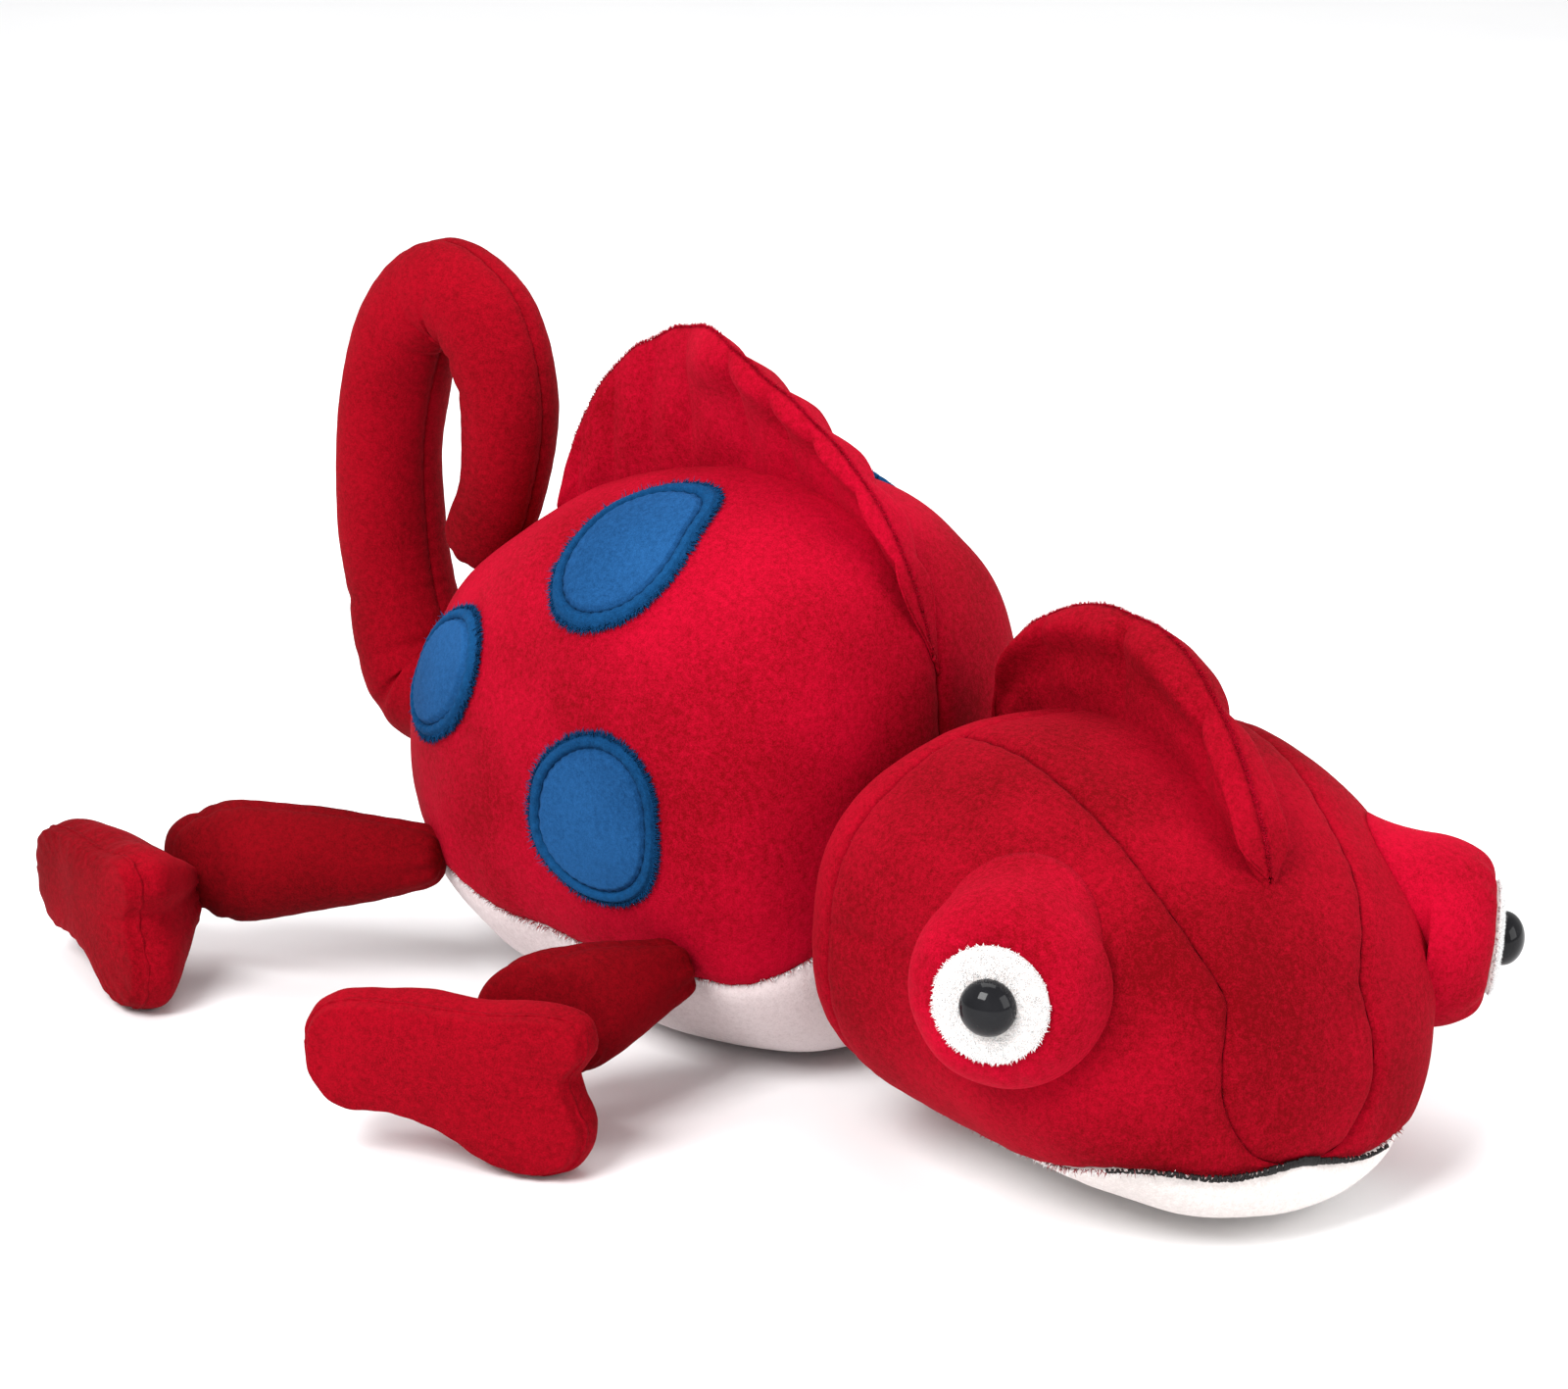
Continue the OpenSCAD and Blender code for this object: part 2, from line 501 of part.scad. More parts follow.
torso_side(RIGHT);  // torso_right_panel
torso_side(LEFT);  // torso_left_panel
belly_panel();
torso_filling();
crest_side(BACK_CREST, TORSO_SPINE, crest_h, RIGHT);  // back_crest_right
crest_side(BACK_CREST, TORSO_SPINE, crest_h, LEFT);  // back_crest_left
crest_filling(BACK_CREST, TORSO_SPINE, crest_h);  // back_crest_filling
for (side = [RIGHT, LEFT]) {
    name = side == RIGHT ? "right" : "left";
    for (key = ["upper", "rear", "lower"])
        spot(key, side);
    turret_skin(side);
    turret_filling(side);
    eye_disc(side);
    safety_eye(side);
    eye_washer(side);
}
head_side(RIGHT);  // head_right_panel
head_side(LEFT);  // head_left_panel
head_gusset();
head_back_panel();
chin_panel();
head_filling();
mouth_embroidery();
head_frame() crest_side(HEAD_CREST, HEAD_SPINE, head_crest_h, RIGHT);  // head_crest_right
head_frame() crest_side(HEAD_CREST, HEAD_SPINE, head_crest_h, LEFT);  // head_crest_left
head_frame() crest_filling(HEAD_CREST, HEAD_SPINE, head_crest_h);  // head_crest_filling
tail_side(RIGHT);  // tail_right_panel
tail_side(LEFT);  // tail_left_panel
tail_filling();
for (key = LEG_KEYS) {
    leg_skin(key);
    leg_filling(key);
    foot_upper(key);
    sole(key);
    foot_filling(key);
}
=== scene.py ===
"""Stuffed plush chameleon: the visible fabric, stitching and eyes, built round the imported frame."""
import math

import bmesh
import bpy
import numpy as np
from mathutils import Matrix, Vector


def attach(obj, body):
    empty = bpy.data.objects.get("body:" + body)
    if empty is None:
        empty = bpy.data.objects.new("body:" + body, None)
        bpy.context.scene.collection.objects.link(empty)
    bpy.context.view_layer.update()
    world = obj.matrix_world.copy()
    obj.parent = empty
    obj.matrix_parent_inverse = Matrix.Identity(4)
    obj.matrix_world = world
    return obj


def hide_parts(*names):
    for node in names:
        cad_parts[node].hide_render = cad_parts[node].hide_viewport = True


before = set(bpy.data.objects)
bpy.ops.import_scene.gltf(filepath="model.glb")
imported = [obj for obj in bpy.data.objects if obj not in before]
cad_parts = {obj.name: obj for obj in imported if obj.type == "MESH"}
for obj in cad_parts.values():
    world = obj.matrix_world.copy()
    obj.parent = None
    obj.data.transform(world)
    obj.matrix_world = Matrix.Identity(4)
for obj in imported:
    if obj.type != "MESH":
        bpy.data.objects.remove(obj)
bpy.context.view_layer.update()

MM = 0.001
RIGHT, LEFT = -1, 1
SIDES = {RIGHT: "right", LEFT: "left"}
rng = np.random.default_rng(7)


# ---- curves and noise ---------------------------------------------------------------------------

def spline(a, b, c, d, t):
    """Smooth curve through b and c at t in 0..1 between them, with a before and d after."""
    return 0.5 * (2 * b + (c - a) * t + (2 * a - 5 * b + 4 * c - d) * t ** 2
                  + (3 * b - a - 3 * c + d) * t ** 3)


def along(values, u):
    """Smooth curve at u in 0..1 through an open list of rows; u may be an array."""
    values = np.asarray(values, float)
    last = len(values) - 1
    s = np.clip(np.asarray(u, float), 0, 1) * last
    i = np.minimum(s.astype(int), last - 1)
    t = (s - i)[..., None]
    a, b = values[np.maximum(i - 1, 0)], values[i]
    c, d = values[i + 1], values[np.minimum(i + 2, last)]
    return spline(a, b, c, d, t)


def around(values, u):
    """The same on a closed list."""
    values = np.asarray(values, float)
    count = len(values)
    s = np.asarray(u, float) * count
    i = np.floor(s).astype(int)
    t = (s - i)[..., None]
    a, b, c, d = (values[(i + k) % count] for k in (-1, 0, 1, 2))
    return spline(a, b, c, d, t)


def signed_pow(v, p):
    """Power of the size of v, with its sign kept."""
    return np.sign(v) * np.abs(v) ** p


def smooth(edge0, edge1, v):
    """0 before edge0, 1 after edge1 and a soft step between; edge1 may be the lower one."""
    t = np.clip((v - edge0) / (edge1 - edge0), 0, 1)
    return t * t * (3 - 2 * t)


def unit(v):
    return v / np.maximum(np.linalg.norm(v, axis=-1, keepdims=True), 1e-9)


def lattice(ix, iy, iz, seed):
    """Repeatable random number in -1..1 for each whole-number place."""
    h = (ix * 374761393 + iy * 668265263 + iz * 2147483647 + seed * 1274126177) & 0xFFFFFFFF
    h = ((h ^ (h >> 13)) * 1274126177) & 0xFFFFFFFF
    return ((h ^ (h >> 16)) & 0xFFFF) / 32767.5 - 1


def noise(p, size, seed=0):
    """Smooth noise in -1..1 over points in mm, with lumps about size mm across."""
    q = np.asarray(p, float) / size
    i = np.floor(q).astype(np.int64)
    f = q - i
    f = f * f * (3 - 2 * f)
    total = 0
    for dx in (0, 1):
        for dy in (0, 1):
            for dz in (0, 1):
                weight = (np.where(dx, f[..., 0], 1 - f[..., 0]) * np.where(dy, f[..., 1], 1 - f[..., 1])
                          * np.where(dz, f[..., 2], 1 - f[..., 2]))
                total = total + weight * lattice(i[..., 0] + dx, i[..., 1] + dy, i[..., 2] + dz, seed)
    return total


# ---- the animal's forms, the same as in the CAD model ------------------------------------------

TORSO_SIZE, TORSO_BACK_X = (162, 116, 138), -76
HEAD_SIZE, HEAD_BACK_X = (124, 134, 100), -58
HEAD_CENTRE, HEAD_YAW, HEAD_ROLL, HEAD_ROLL_Z = (146.5, -5), math.radians(-15), math.radians(-5.5), 50
SECTION_POW = 2 / 2.35                  # a little squarer than an ellipse
# Rows of a form from back to front: share of its length, of its width, and its underside and top in heights
TORSO_STATIONS = [[0, 0, 0.42, 0.42], [0.012, 0.24, 0.30, 0.54], [0.06, 0.46, 0.18, 0.645],
                  [0.183, 0.72, 0.07, 0.79], [0.366, 0.92, 0.005, 0.93], [0.567, 1, -0.01, 1],
                  [0.756, 0.985, -0.005, 0.995], [0.89, 0.87, 0.04, 0.92], [0.975, 0.52, 0.2, 0.76],
                  [1, 0, 0.5, 0.5]]
HEAD_STATIONS = [[0, 0, 0.50, 0.50], [0.016, 0.40, 0.28, 0.72], [0.065, 0.72, 0.15, 0.86],
                 [0.16, 0.94, 0.07, 0.95], [0.306, 1.01, 0.04, 1], [0.484, 0.99, 0.03, 1],
                 [0.66, 0.925, 0.03, 0.925], [0.82, 0.80, 0.035, 0.79], [0.927, 0.59, 0.055, 0.62],
                 [0.984, 0.31, 0.10, 0.42], [1, 0, 0.21, 0.21]]


def loft(stations, size, back_x, u, angle, side, out=0.0):
    """Points on a loft; angle runs from -90 under the belly to 90 at the spine, out stands it proud."""
    u, angle = np.broadcast_arrays(np.asarray(u, float), np.asarray(angle, float))
    s = along(stations, u)
    a = np.radians(angle)
    x = back_x + size[0] / 2 + (s[..., 0] - 0.5) * (size[0] + 2 * out)
    w = s[..., 1] * size[1] / 2
    half = (s[..., 3] - s[..., 2]) / 2 * size[2]
    y = side * (w + out * np.minimum(w / 10, 1)) * signed_pow(np.cos(a), SECTION_POW)
    z = ((s[..., 2] + s[..., 3]) / 2 * size[2]
         + (half + out * np.minimum(half / 10, 1)) * signed_pow(np.sin(a), SECTION_POW))
    return np.stack([x, y, z], -1)


def torso(u, angle, side, out=0.0):
    return loft(TORSO_STATIONS, TORSO_SIZE, TORSO_BACK_X, u, angle, side, out)


def straight_head(u, angle, side, out=0.0):
    return loft(HEAD_STATIONS, HEAD_SIZE, HEAD_BACK_X, u, angle, side, out)


def place_head(p):
    """Lean the straight head about a line above the floor, then turn it, then move it."""
    x, y, z = p[..., 0], p[..., 1], p[..., 2] - HEAD_ROLL_Z
    y, z = (y * math.cos(HEAD_ROLL) - z * math.sin(HEAD_ROLL),
            y * math.sin(HEAD_ROLL) + z * math.cos(HEAD_ROLL))
    return np.stack([HEAD_CENTRE[0] + x * math.cos(HEAD_YAW) - y * math.sin(HEAD_YAW),
                     HEAD_CENTRE[1] + x * math.sin(HEAD_YAW) + y * math.cos(HEAD_YAW),
                     z + HEAD_ROLL_Z], -1)


def head(u, angle, side, out=0.0):
    return place_head(straight_head(u, angle, side, out))


# Seam lines as angles round the section, at u from the back to the front

def chin_edge(u):
    return -54 + 28 * smooth(0.55, 0.85, np.asarray(u, float))


def gusset_edge(u):
    return 64 - 88 * smooth(0.8, 1, np.asarray(u, float))


def belly_edge(u):
    return -29 - 4 * np.asarray(u, float)


# ---- materials ----------------------------------------------------------------------------------

def node_material(name, roughness):
    """A new material with its nodes, its links and its shader."""
    material = bpy.data.materials.new(name)
    material.use_nodes = True
    shader = material.node_tree.nodes["Principled BSDF"]
    shader.inputs["Roughness"].default_value = roughness
    return material, material.node_tree.nodes, material.node_tree.links, shader


def noise_node(nodes, links, place, scale, detail):
    """A noise texture over the piece's own coordinates."""
    texture = nodes.new("ShaderNodeTexNoise")
    texture.inputs["Scale"].default_value = scale
    texture.inputs["Detail"].default_value = detail
    links.new(place.outputs["Object"], texture.inputs["Vector"])
    return texture


def plush(name, deep, bright, sheen, pile=2600, bump=0.35, rub=0.9):
    """Short-pile plush: mottled pile, broad rubbed areas where the nap lies another way, soft sheen."""
    material, nodes, links, shader = node_material(name, 0.92)
    place = nodes.new("ShaderNodeTexCoord")
    fine = noise_node(nodes, links, place, pile, 2.0)
    tufts = noise_node(nodes, links, place, pile * 0.3, 3.0)
    nap = noise_node(nodes, links, place, 19, 2.5)
    grain = nodes.new("ShaderNodeMix")
    grain.data_type = "FLOAT"
    grain.inputs["Factor"].default_value = 0.45
    links.new(fine.outputs["Fac"], grain.inputs["A"])
    links.new(tufts.outputs["Fac"], grain.inputs["B"])
    shade = nodes.new("ShaderNodeMix")
    shade.data_type = "FLOAT"
    shade.inputs["Factor"].default_value = rub * 0.5
    links.new(grain.outputs["Result"], shade.inputs["A"])
    links.new(nap.outputs["Fac"], shade.inputs["B"])
    ramp = nodes.new("ShaderNodeValToRGB")
    ramp.color_ramp.elements[0].position = 0.39
    ramp.color_ramp.elements[0].color = (*deep, 1)
    ramp.color_ramp.elements[1].position = 0.61
    ramp.color_ramp.elements[1].color = (*bright, 1)
    links.new(shade.outputs["Result"], ramp.inputs["Fac"])
    links.new(ramp.outputs["Color"], shader.inputs["Base Color"])
    relief = nodes.new("ShaderNodeBump")
    relief.inputs["Strength"].default_value = bump
    relief.inputs["Distance"].default_value = 0.0004
    links.new(grain.outputs["Result"], relief.inputs["Height"])
    links.new(relief.outputs["Normal"], shader.inputs["Normal"])
    shader.inputs["Specular IOR Level"].default_value = 0.05
    shader.inputs["Sheen Weight"].default_value = sheen
    shader.inputs["Sheen Roughness"].default_value = 0.45
    shader.inputs["Sheen Tint"].default_value = (*[min(1, 0.02 + 2.0 * c) for c in bright], 1)
    return material


RED = plush("red_plush", (0.165, 0.0004, 0.003), (0.41, 0.0012, 0.018), 0.12)
# The same red darkened for the head: painted shade where the head lies in shade.
RED_HEAD_PAINTED_SHADE = plush("red_plush_head_painted_shade", (0.125, 0.0003, 0.002), (0.33, 0.0010, 0.012), 0.10)
# The same red darkened for the tail and feet: painted shade.
RED_PAINTED_SHADE = plush("red_plush_painted_shade", (0.11, 0.0003, 0.002), (0.28, 0.0008, 0.008), 0.08)
# The red darkened further for the legs: partly a darker dye, partly painted shade.
RED_LEG_DYE_AND_PAINTED_SHADE = plush("red_plush_leg_dye_and_painted_shade", (0.065, 0.0003, 0.001), (0.18, 0.0006, 0.004), 0.05)
WHITE = plush("white_plush", (0.60, 0.55, 0.53), (0.80, 0.75, 0.73), 0.12, bump=0.5)
# The chin's white darkened and tinted pink for the belly: painted shade and painted red bounce light.
WHITE_PAINTED_SHADE = plush("white_plush_painted_shade", (0.48, 0.40, 0.40), (0.66, 0.58, 0.58), 0.12, bump=0.5)
FUZZ_WHITE = plush("white_pile", (0.80, 0.80, 0.80), (0.95, 0.95, 0.95), 0.12, bump=0.5)
BLUE = plush("blue_plush", (0.005, 0.038, 0.115), (0.013, 0.078, 0.22), 0.10)
BLUE_DEEP = plush("blue_plush_border", (0.002, 0.028, 0.085), (0.006, 0.058, 0.165), 0.08)


def thread_material():
    """Black embroidery thread, a little lighter in places."""
    material, nodes, links, shader = node_material("black_thread", 0.5)
    place = nodes.new("ShaderNodeTexCoord")
    strands = noise_node(nodes, links, place, 1800, 2.0)
    ramp = nodes.new("ShaderNodeValToRGB")
    ramp.color_ramp.elements[0].color = (0.002, 0.002, 0.002, 1)
    ramp.color_ramp.elements[1].color = (0.014, 0.012, 0.012, 1)
    links.new(strands.outputs["Fac"], ramp.inputs["Fac"])
    links.new(ramp.outputs["Color"], shader.inputs["Base Color"])
    shader.inputs["Specular IOR Level"].default_value = 0.2
    return material


def eye_material():
    """Glossy black moulded plastic with a faint haze."""
    material, nodes, links, shader = node_material("black_moulded_plastic", 0.06)
    place = nodes.new("ShaderNodeTexCoord")
    haze = noise_node(nodes, links, place, 220, 4.0)
    ramp = nodes.new("ShaderNodeValToRGB")
    ramp.color_ramp.elements[0].color = (0.003, 0.003, 0.004, 1)
    ramp.color_ramp.elements[1].color = (0.012, 0.012, 0.014, 1)
    links.new(haze.outputs["Fac"], ramp.inputs["Fac"])
    links.new(ramp.outputs["Color"], shader.inputs["Base Color"])
    gloss = nodes.new("ShaderNodeMapRange")
    gloss.inputs["To Min"].default_value = 0.04
    gloss.inputs["To Max"].default_value = 0.11
    links.new(haze.outputs["Fac"], gloss.inputs["Value"])
    links.new(gloss.outputs["Result"], shader.inputs["Roughness"])
    shader.inputs["Specular IOR Level"].default_value = 0.13
    shader.inputs["Coat Weight"].default_value = 0.08
    shader.inputs["Coat Roughness"].default_value = 0.03
    return material


THREAD = thread_material()
EYE_BLACK = eye_material()


# ---- meshes -------------------------------------------------------------------------------------

def grid_normals(p, wrap=False):
    """Unit normals of a grid of points, pointing the way that rows x columns turn."""
    if wrap:
        across = np.roll(p, -1, 1) - np.roll(p, 1, 1)
    else:
        across = np.gradient(p, axis=1)
    return unit(np.cross(np.gradient(p, axis=0), across))


def arc_lengths(p, axis):
    """Distance in mm along a grid's rows (axis 0) or columns (axis 1), from its first point."""
    steps = np.linalg.norm(np.diff(p, axis=axis), axis=-1)
    total = np.cumsum(steps, axis=axis)
    pad = [(0, 0), (0, 0)]
    pad[axis] = (1, 0)
    return np.pad(total, pad)


def add_object(name, points, faces, material, body):
    """A smooth-shaded mesh from points in mm, riding on a body."""
    mesh = bpy.data.meshes.new(name)
    mesh.from_pydata((np.asarray(points) * MM).tolist(), [], faces)
    mesh.update()
    mesh.polygons.foreach_set("use_smooth", [True] * len(mesh.polygons))
    mesh.materials.append(material)
    piece = bpy.data.objects.new(name, mesh)
    bpy.context.scene.collection.objects.link(piece)
    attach(piece, body)
    return piece


def grid_quads(rows, cols, wrap):
    """Four corner numbers of each face of a grid, closed round its columns if wrap is true."""
    last = cols if wrap else cols - 1
    i, j = np.meshgrid(np.arange(rows - 1), np.arange(last), indexing="ij")
    k = (j + 1) % cols
    return np.stack([i * cols + j, (i + 1) * cols + j, (i + 1) * cols + k, i * cols + k], -1).reshape(-1, 4)


def fabric(name, outer, material, body, thick=1.2, wrap=False, away=None, closed=False):
    """A closed sheet of fabric: outer points, an inner layer thick mm inside, and edges joining them."""
    normals = grid_normals(outer, wrap)
    away = outer.reshape(-1, 3).mean(0) if away is None else np.asarray(away, float)
    if ((outer - away) * normals).sum() < 0:
        normals = -normals
        turned = True
    else:
        turned = False
    inner = outer - normals * thick
    inner[..., 2] = np.where(outer[..., 2] > 0.01, np.maximum(inner[..., 2], 0.02), thick)
    rows, cols = outer.shape[:2]
    count = rows * cols
    quads = grid_quads(rows, cols, wrap)
    if closed:
        inner[0] = inner[0].mean(0)
    faces = [quads, quads[:, ::-1] + count]
    last = cols if wrap else cols - 1
    j = np.arange(last)
    k = (j + 1) % cols
    low, high = 0, (rows - 1) * cols
    faces.append(np.stack([low + j, low + k, low + k + count, low + j + count], -1))
    faces.append(np.stack([high + k, high + j, high + j + count, high + k + count], -1))
    if not wrap:
        i = np.arange(rows - 1) * cols
        faces.append(np.stack([i + cols, i, i + count, i + cols + count], -1))
        i = i + cols - 1
        faces.append(np.stack([i, i + cols, i + cols + count, i + count], -1))
    faces = np.concatenate(faces)
    if not turned:
        faces = faces[:, ::-1]
    points = np.concatenate([outer.reshape(-1, 3), inner.reshape(-1, 3)])
    piece = add_object(name, points, faces.tolist(), material, body)
    tidy_mesh(piece)
    return piece


def tidy_mesh(piece):
    """Join points that lie on each other, which drops the empty faces at a pole, and face outwards."""
    bm = bmesh.new()
    bm.from_mesh(piece.data)
    bmesh.ops.remove_doubles(bm, verts=bm.verts, dist=0.00002)
    bmesh.ops.dissolve_degenerate(bm, dist=0.00001, edges=bm.edges)
    bmesh.ops.recalc_face_normals(bm, faces=bm.faces)
    bm.to_mesh(piece.data)
    bm.free()
    piece.data.polygons.foreach_set("use_smooth", [True] * len(piece.data.polygons))


FLOOR_SOFTNESS = 0.9                    # mm squared; how gradually fabric flattens on the floor


def rest_on_floor(p):
    """Keep fabric above the floor, flattening it softly where it comes down on it."""
    p = p.copy()
    p[..., 2] = 0.5 * (p[..., 2] + np.sqrt(p[..., 2] ** 2 + FLOOR_SOFTNESS))
    return p


def crease(distance, depth=1.6, width=1.8):
    """How far fabric dips at a seam, at a distance in mm from it."""
    return depth * np.exp(-(np.abs(distance) / width) ** 1.15)


def pucker(distance, run, seed, size, reach=7.0, pitch=8.0):
    """Small ripples that run across a seam and fade away from it."""
    distance, run = np.broadcast_arrays(distance, run)
    places = np.stack([run, run * 0 + seed, distance * 0], -1)
    wave = np.sin(2 * math.pi * run / pitch + 2.5 * noise(places, 19, seed))
    return size * wave * np.exp(-np.abs(distance) / reach)


def soften(p, seed, size=0.7):
    """Broad unevenness of a hand-filled toy."""
    return size * noise(p, 26, seed) + 0.45 * size * noise(p, 12, seed + 1)


# ---- panels on the torso and the head -----------------------------------------------------------

def dressed(p, seams, centre, seed, wrap=False, lumps=0.7, ripple=0.14, depth=1.6):
    """Fabric points: dipped at each seam, rippled across it, and unevenly filled."""
    n = grid_normals(p, wrap)
    for row, near in ((0, 1), (-1, -2)):
        if np.linalg.norm(p[row] - p[row][0], axis=-1).max() < 0.5:
            n[row] = unit(n[near].mean(0))
    if ((p - np.asarray(centre, float)) * n).sum() < 0:
        n = -n
    move = soften(p, seed, lumps)
    dip = 0
    for distance, run in seams:
        dip = np.maximum(dip, crease(distance, depth))
        move = move + pucker(distance, run, seed, ripple)
    p = p + n * (move - dip)[..., None]
    return rest_on_floor(p)


def edge_seams(p, rows=(), cols=()):
    """(distance, run) of every point of a grid from the chosen first or last rows and columns."""
    down, across = arc_lengths(p, 0), arc_lengths(p, 1)
    found = []
    for end in rows:
        found.append((down if end == 0 else down[-1:] - down, across))
    for end in cols:
        found.append((across if end == 0 else across[:, -1:] - across, down.mean(1, keepdims=True)))
    return found


TORSO_CENTRE, HEAD_MIDDLE = (5, 0, 60), tuple(place_head(np.array([4.0, 0, 48])))


def side_skin(name, form, centre, u0, low, high, side, material, body, seed, rows, cols, extra=None, **look):
    """One side's fabric on a form, between two seam lines."""
    u = np.linspace(u0, 1, rows)[:, None]
    a0, a1 = (np.broadcast_to(edge(u), u.shape) for edge in (low, high))
    v = np.linspace(0, 1, cols)[None]
    p = form(u, a0 + (a1 - a0) * v, side)
    seams = edge_seams(p, rows=(0,) if u0 > 0 else (), cols=(0, 1))
    if extra:
        seams += extra(p)
    return fabric(name, dressed(p, seams, centre, seed, **look), material, body, away=centre)


def middle_skin(name, form, centre, u0, edge, material, body, seed, rows, cols, **look):
    """The fabric across the middle of a form, over or under it, from a seam line to its mirror image."""
    u = np.linspace(u0, 1, rows)[:, None]
    a = np.broadcast_to(edge(u), u.shape)
    v = np.linspace(-1, 1, cols)[None]
    pole = 90 if a[0, 0] > 0 else -90
    p = np.where((v < 0)[..., None], form(u, pole + (a - pole) * np.abs(v), RIGHT),
                 form(u, pole + (a - pole) * np.abs(v), LEFT))
    seams = edge_seams(p, rows=(0,) if u0 > 0 else (), cols=(0, 1))
    return fabric(name, dressed(p, seams, centre, seed, **look), material, body, away=centre)


def soft(piece, slot, *nodes, fill=0.8):
    """Hide the CAD nodes that a stuffed piece stands for; its finish (slot) and how full it is (fill) are not
    used.
    """
    if nodes:
        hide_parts(*nodes)
    return piece


def constant(value):
    """A seam line at one angle."""
    return lambda u: np.zeros_like(u) + value


for side, word in SIDES.items():
    piece = side_skin(f"torso_{word}_skin", torso, TORSO_CENTRE, 0, belly_edge, constant(90), side,
                      RED, "torso", 11, 150, 110, lumps=1.0)
    soft(piece, "red_plush", f"torso_{word}_panel", "torso_filling")
piece = middle_skin("belly_skin", torso, TORSO_CENTRE, 0, belly_edge, WHITE_PAINTED_SHADE, "torso", 11, 150, 130, lumps=1.0)
soft(piece, "white_plush", "belly_panel")

BACK_SEAM_U = 0.36
BROW_LINE = [(0.36, 1), (0.41, 1.5), (0.47, 2), (0.54, 6)]


def brow_seam(side):
    """The short seam that runs over the cheek from the back band to the eye turret."""
    line = head(np.array([u for u, a in BROW_LINE]), np.array([a for u, a in BROW_LINE], float), side)
    t = np.linspace(0, 1, 60)
    line = along(line, t)

    def seams(p):
        gaps = np.linalg.norm(p[:, :, None] - line[None, None], axis=-1)
        return [(gaps.min(-1), t[gaps.argmin(-1)] * 60)]
    return seams


for side, word in SIDES.items():
    piece = side_skin(f"head_{word}_skin", head, HEAD_MIDDLE, BACK_SEAM_U, chin_edge, gusset_edge, side,
                      RED_HEAD_PAINTED_SHADE, "head", 23, 110, 110, extra=brow_seam(side), lumps=0.8)
    soft(piece, "red_plush", f"head_{word}_panel", "head_filling")
piece = middle_skin("head_gusset_skin", head, HEAD_MIDDLE, BACK_SEAM_U, gusset_edge, RED_HEAD_PAINTED_SHADE, "head", 23,
                    110, 60, lumps=0.8)
soft(piece, "red_plush", "head_gusset")
piece = middle_skin("chin_skin", head, HEAD_MIDDLE, BACK_SEAM_U, chin_edge, WHITE, "head", 23, 110, 70,
                    lumps=0.8)
soft(piece, "white_plush", "chin_panel")


def back_skin():
    """The cup of fabric round the back of the head, up to the band seam."""
    turn = np.linspace(0, 360, 220, endpoint=False)[None]
    left = (turn > 90) & (turn < 270)
    angle = np.where(left, 180 - turn, np.where(turn >= 270, turn - 360, turn))
    u = np.linspace(0, BACK_SEAM_U, 46)[:, None]
    p = np.where(left[..., None], head(u, angle, LEFT), head(u, angle, RIGHT))
    down = arc_lengths(p, 0)
    run = np.broadcast_to(turn * 0.9, down.shape)
    p = dressed(p, [(down[-1:] - down, run)], HEAD_MIDDLE, 23, wrap=True, lumps=0.8)
    return fabric("head_back_skin", p, RED_HEAD_PAINTED_SHADE, "head", wrap=True, away=HEAD_MIDDLE)


soft(back_skin(), "red_plush", "head_back_panel")


# ---- blue spots ---------------------------------------------------------------------------------

SPOTS = {"upper": (0.567, 53, 0.065, 22), "rear": (0.36, 22, 0.078, 17), "lower": (0.597, -2, 0.071, 13.5)}
EDGE_STRANDS = []                       # (root, direction, length, body, kind) of each strand of loose pile


def spot_points(key, side, rings, sectors, out):
    """Points over a spot, rounded like a cut patch and set out mm proud of the torso's fabric."""
    u0, a0, du, da = SPOTS[key]
    t = np.linspace(0, 2 * math.pi, sectors, endpoint=False)[None]
    edge = 1 + 0.04 * np.cos(2 * t + u0 * 30) + 0.03 * np.sin(3 * t + a0)
    if key == "upper":
        edge = edge + 0.16 * np.exp(-((t - 0.9) / 0.35) ** 2) - 0.07 * np.exp(-((t - 1.9) / 0.5) ** 2)
    r = np.asarray(rings, float)[:, None]
    u, a = u0 + du * r * edge * np.cos(t), a0 + da * r * edge * np.sin(t)
    p = torso(u, a, side)
    n = unit(torso(u, a, side, 1.0) - p)
    return p + n * (soften(p, 11, 1.0) + np.broadcast_to(out, r.shape))[..., None], n


SPOT_SECTORS, SPOT_MIDDLE_ROWS, SPOT_BORDER_ROWS = 160, 40, 16

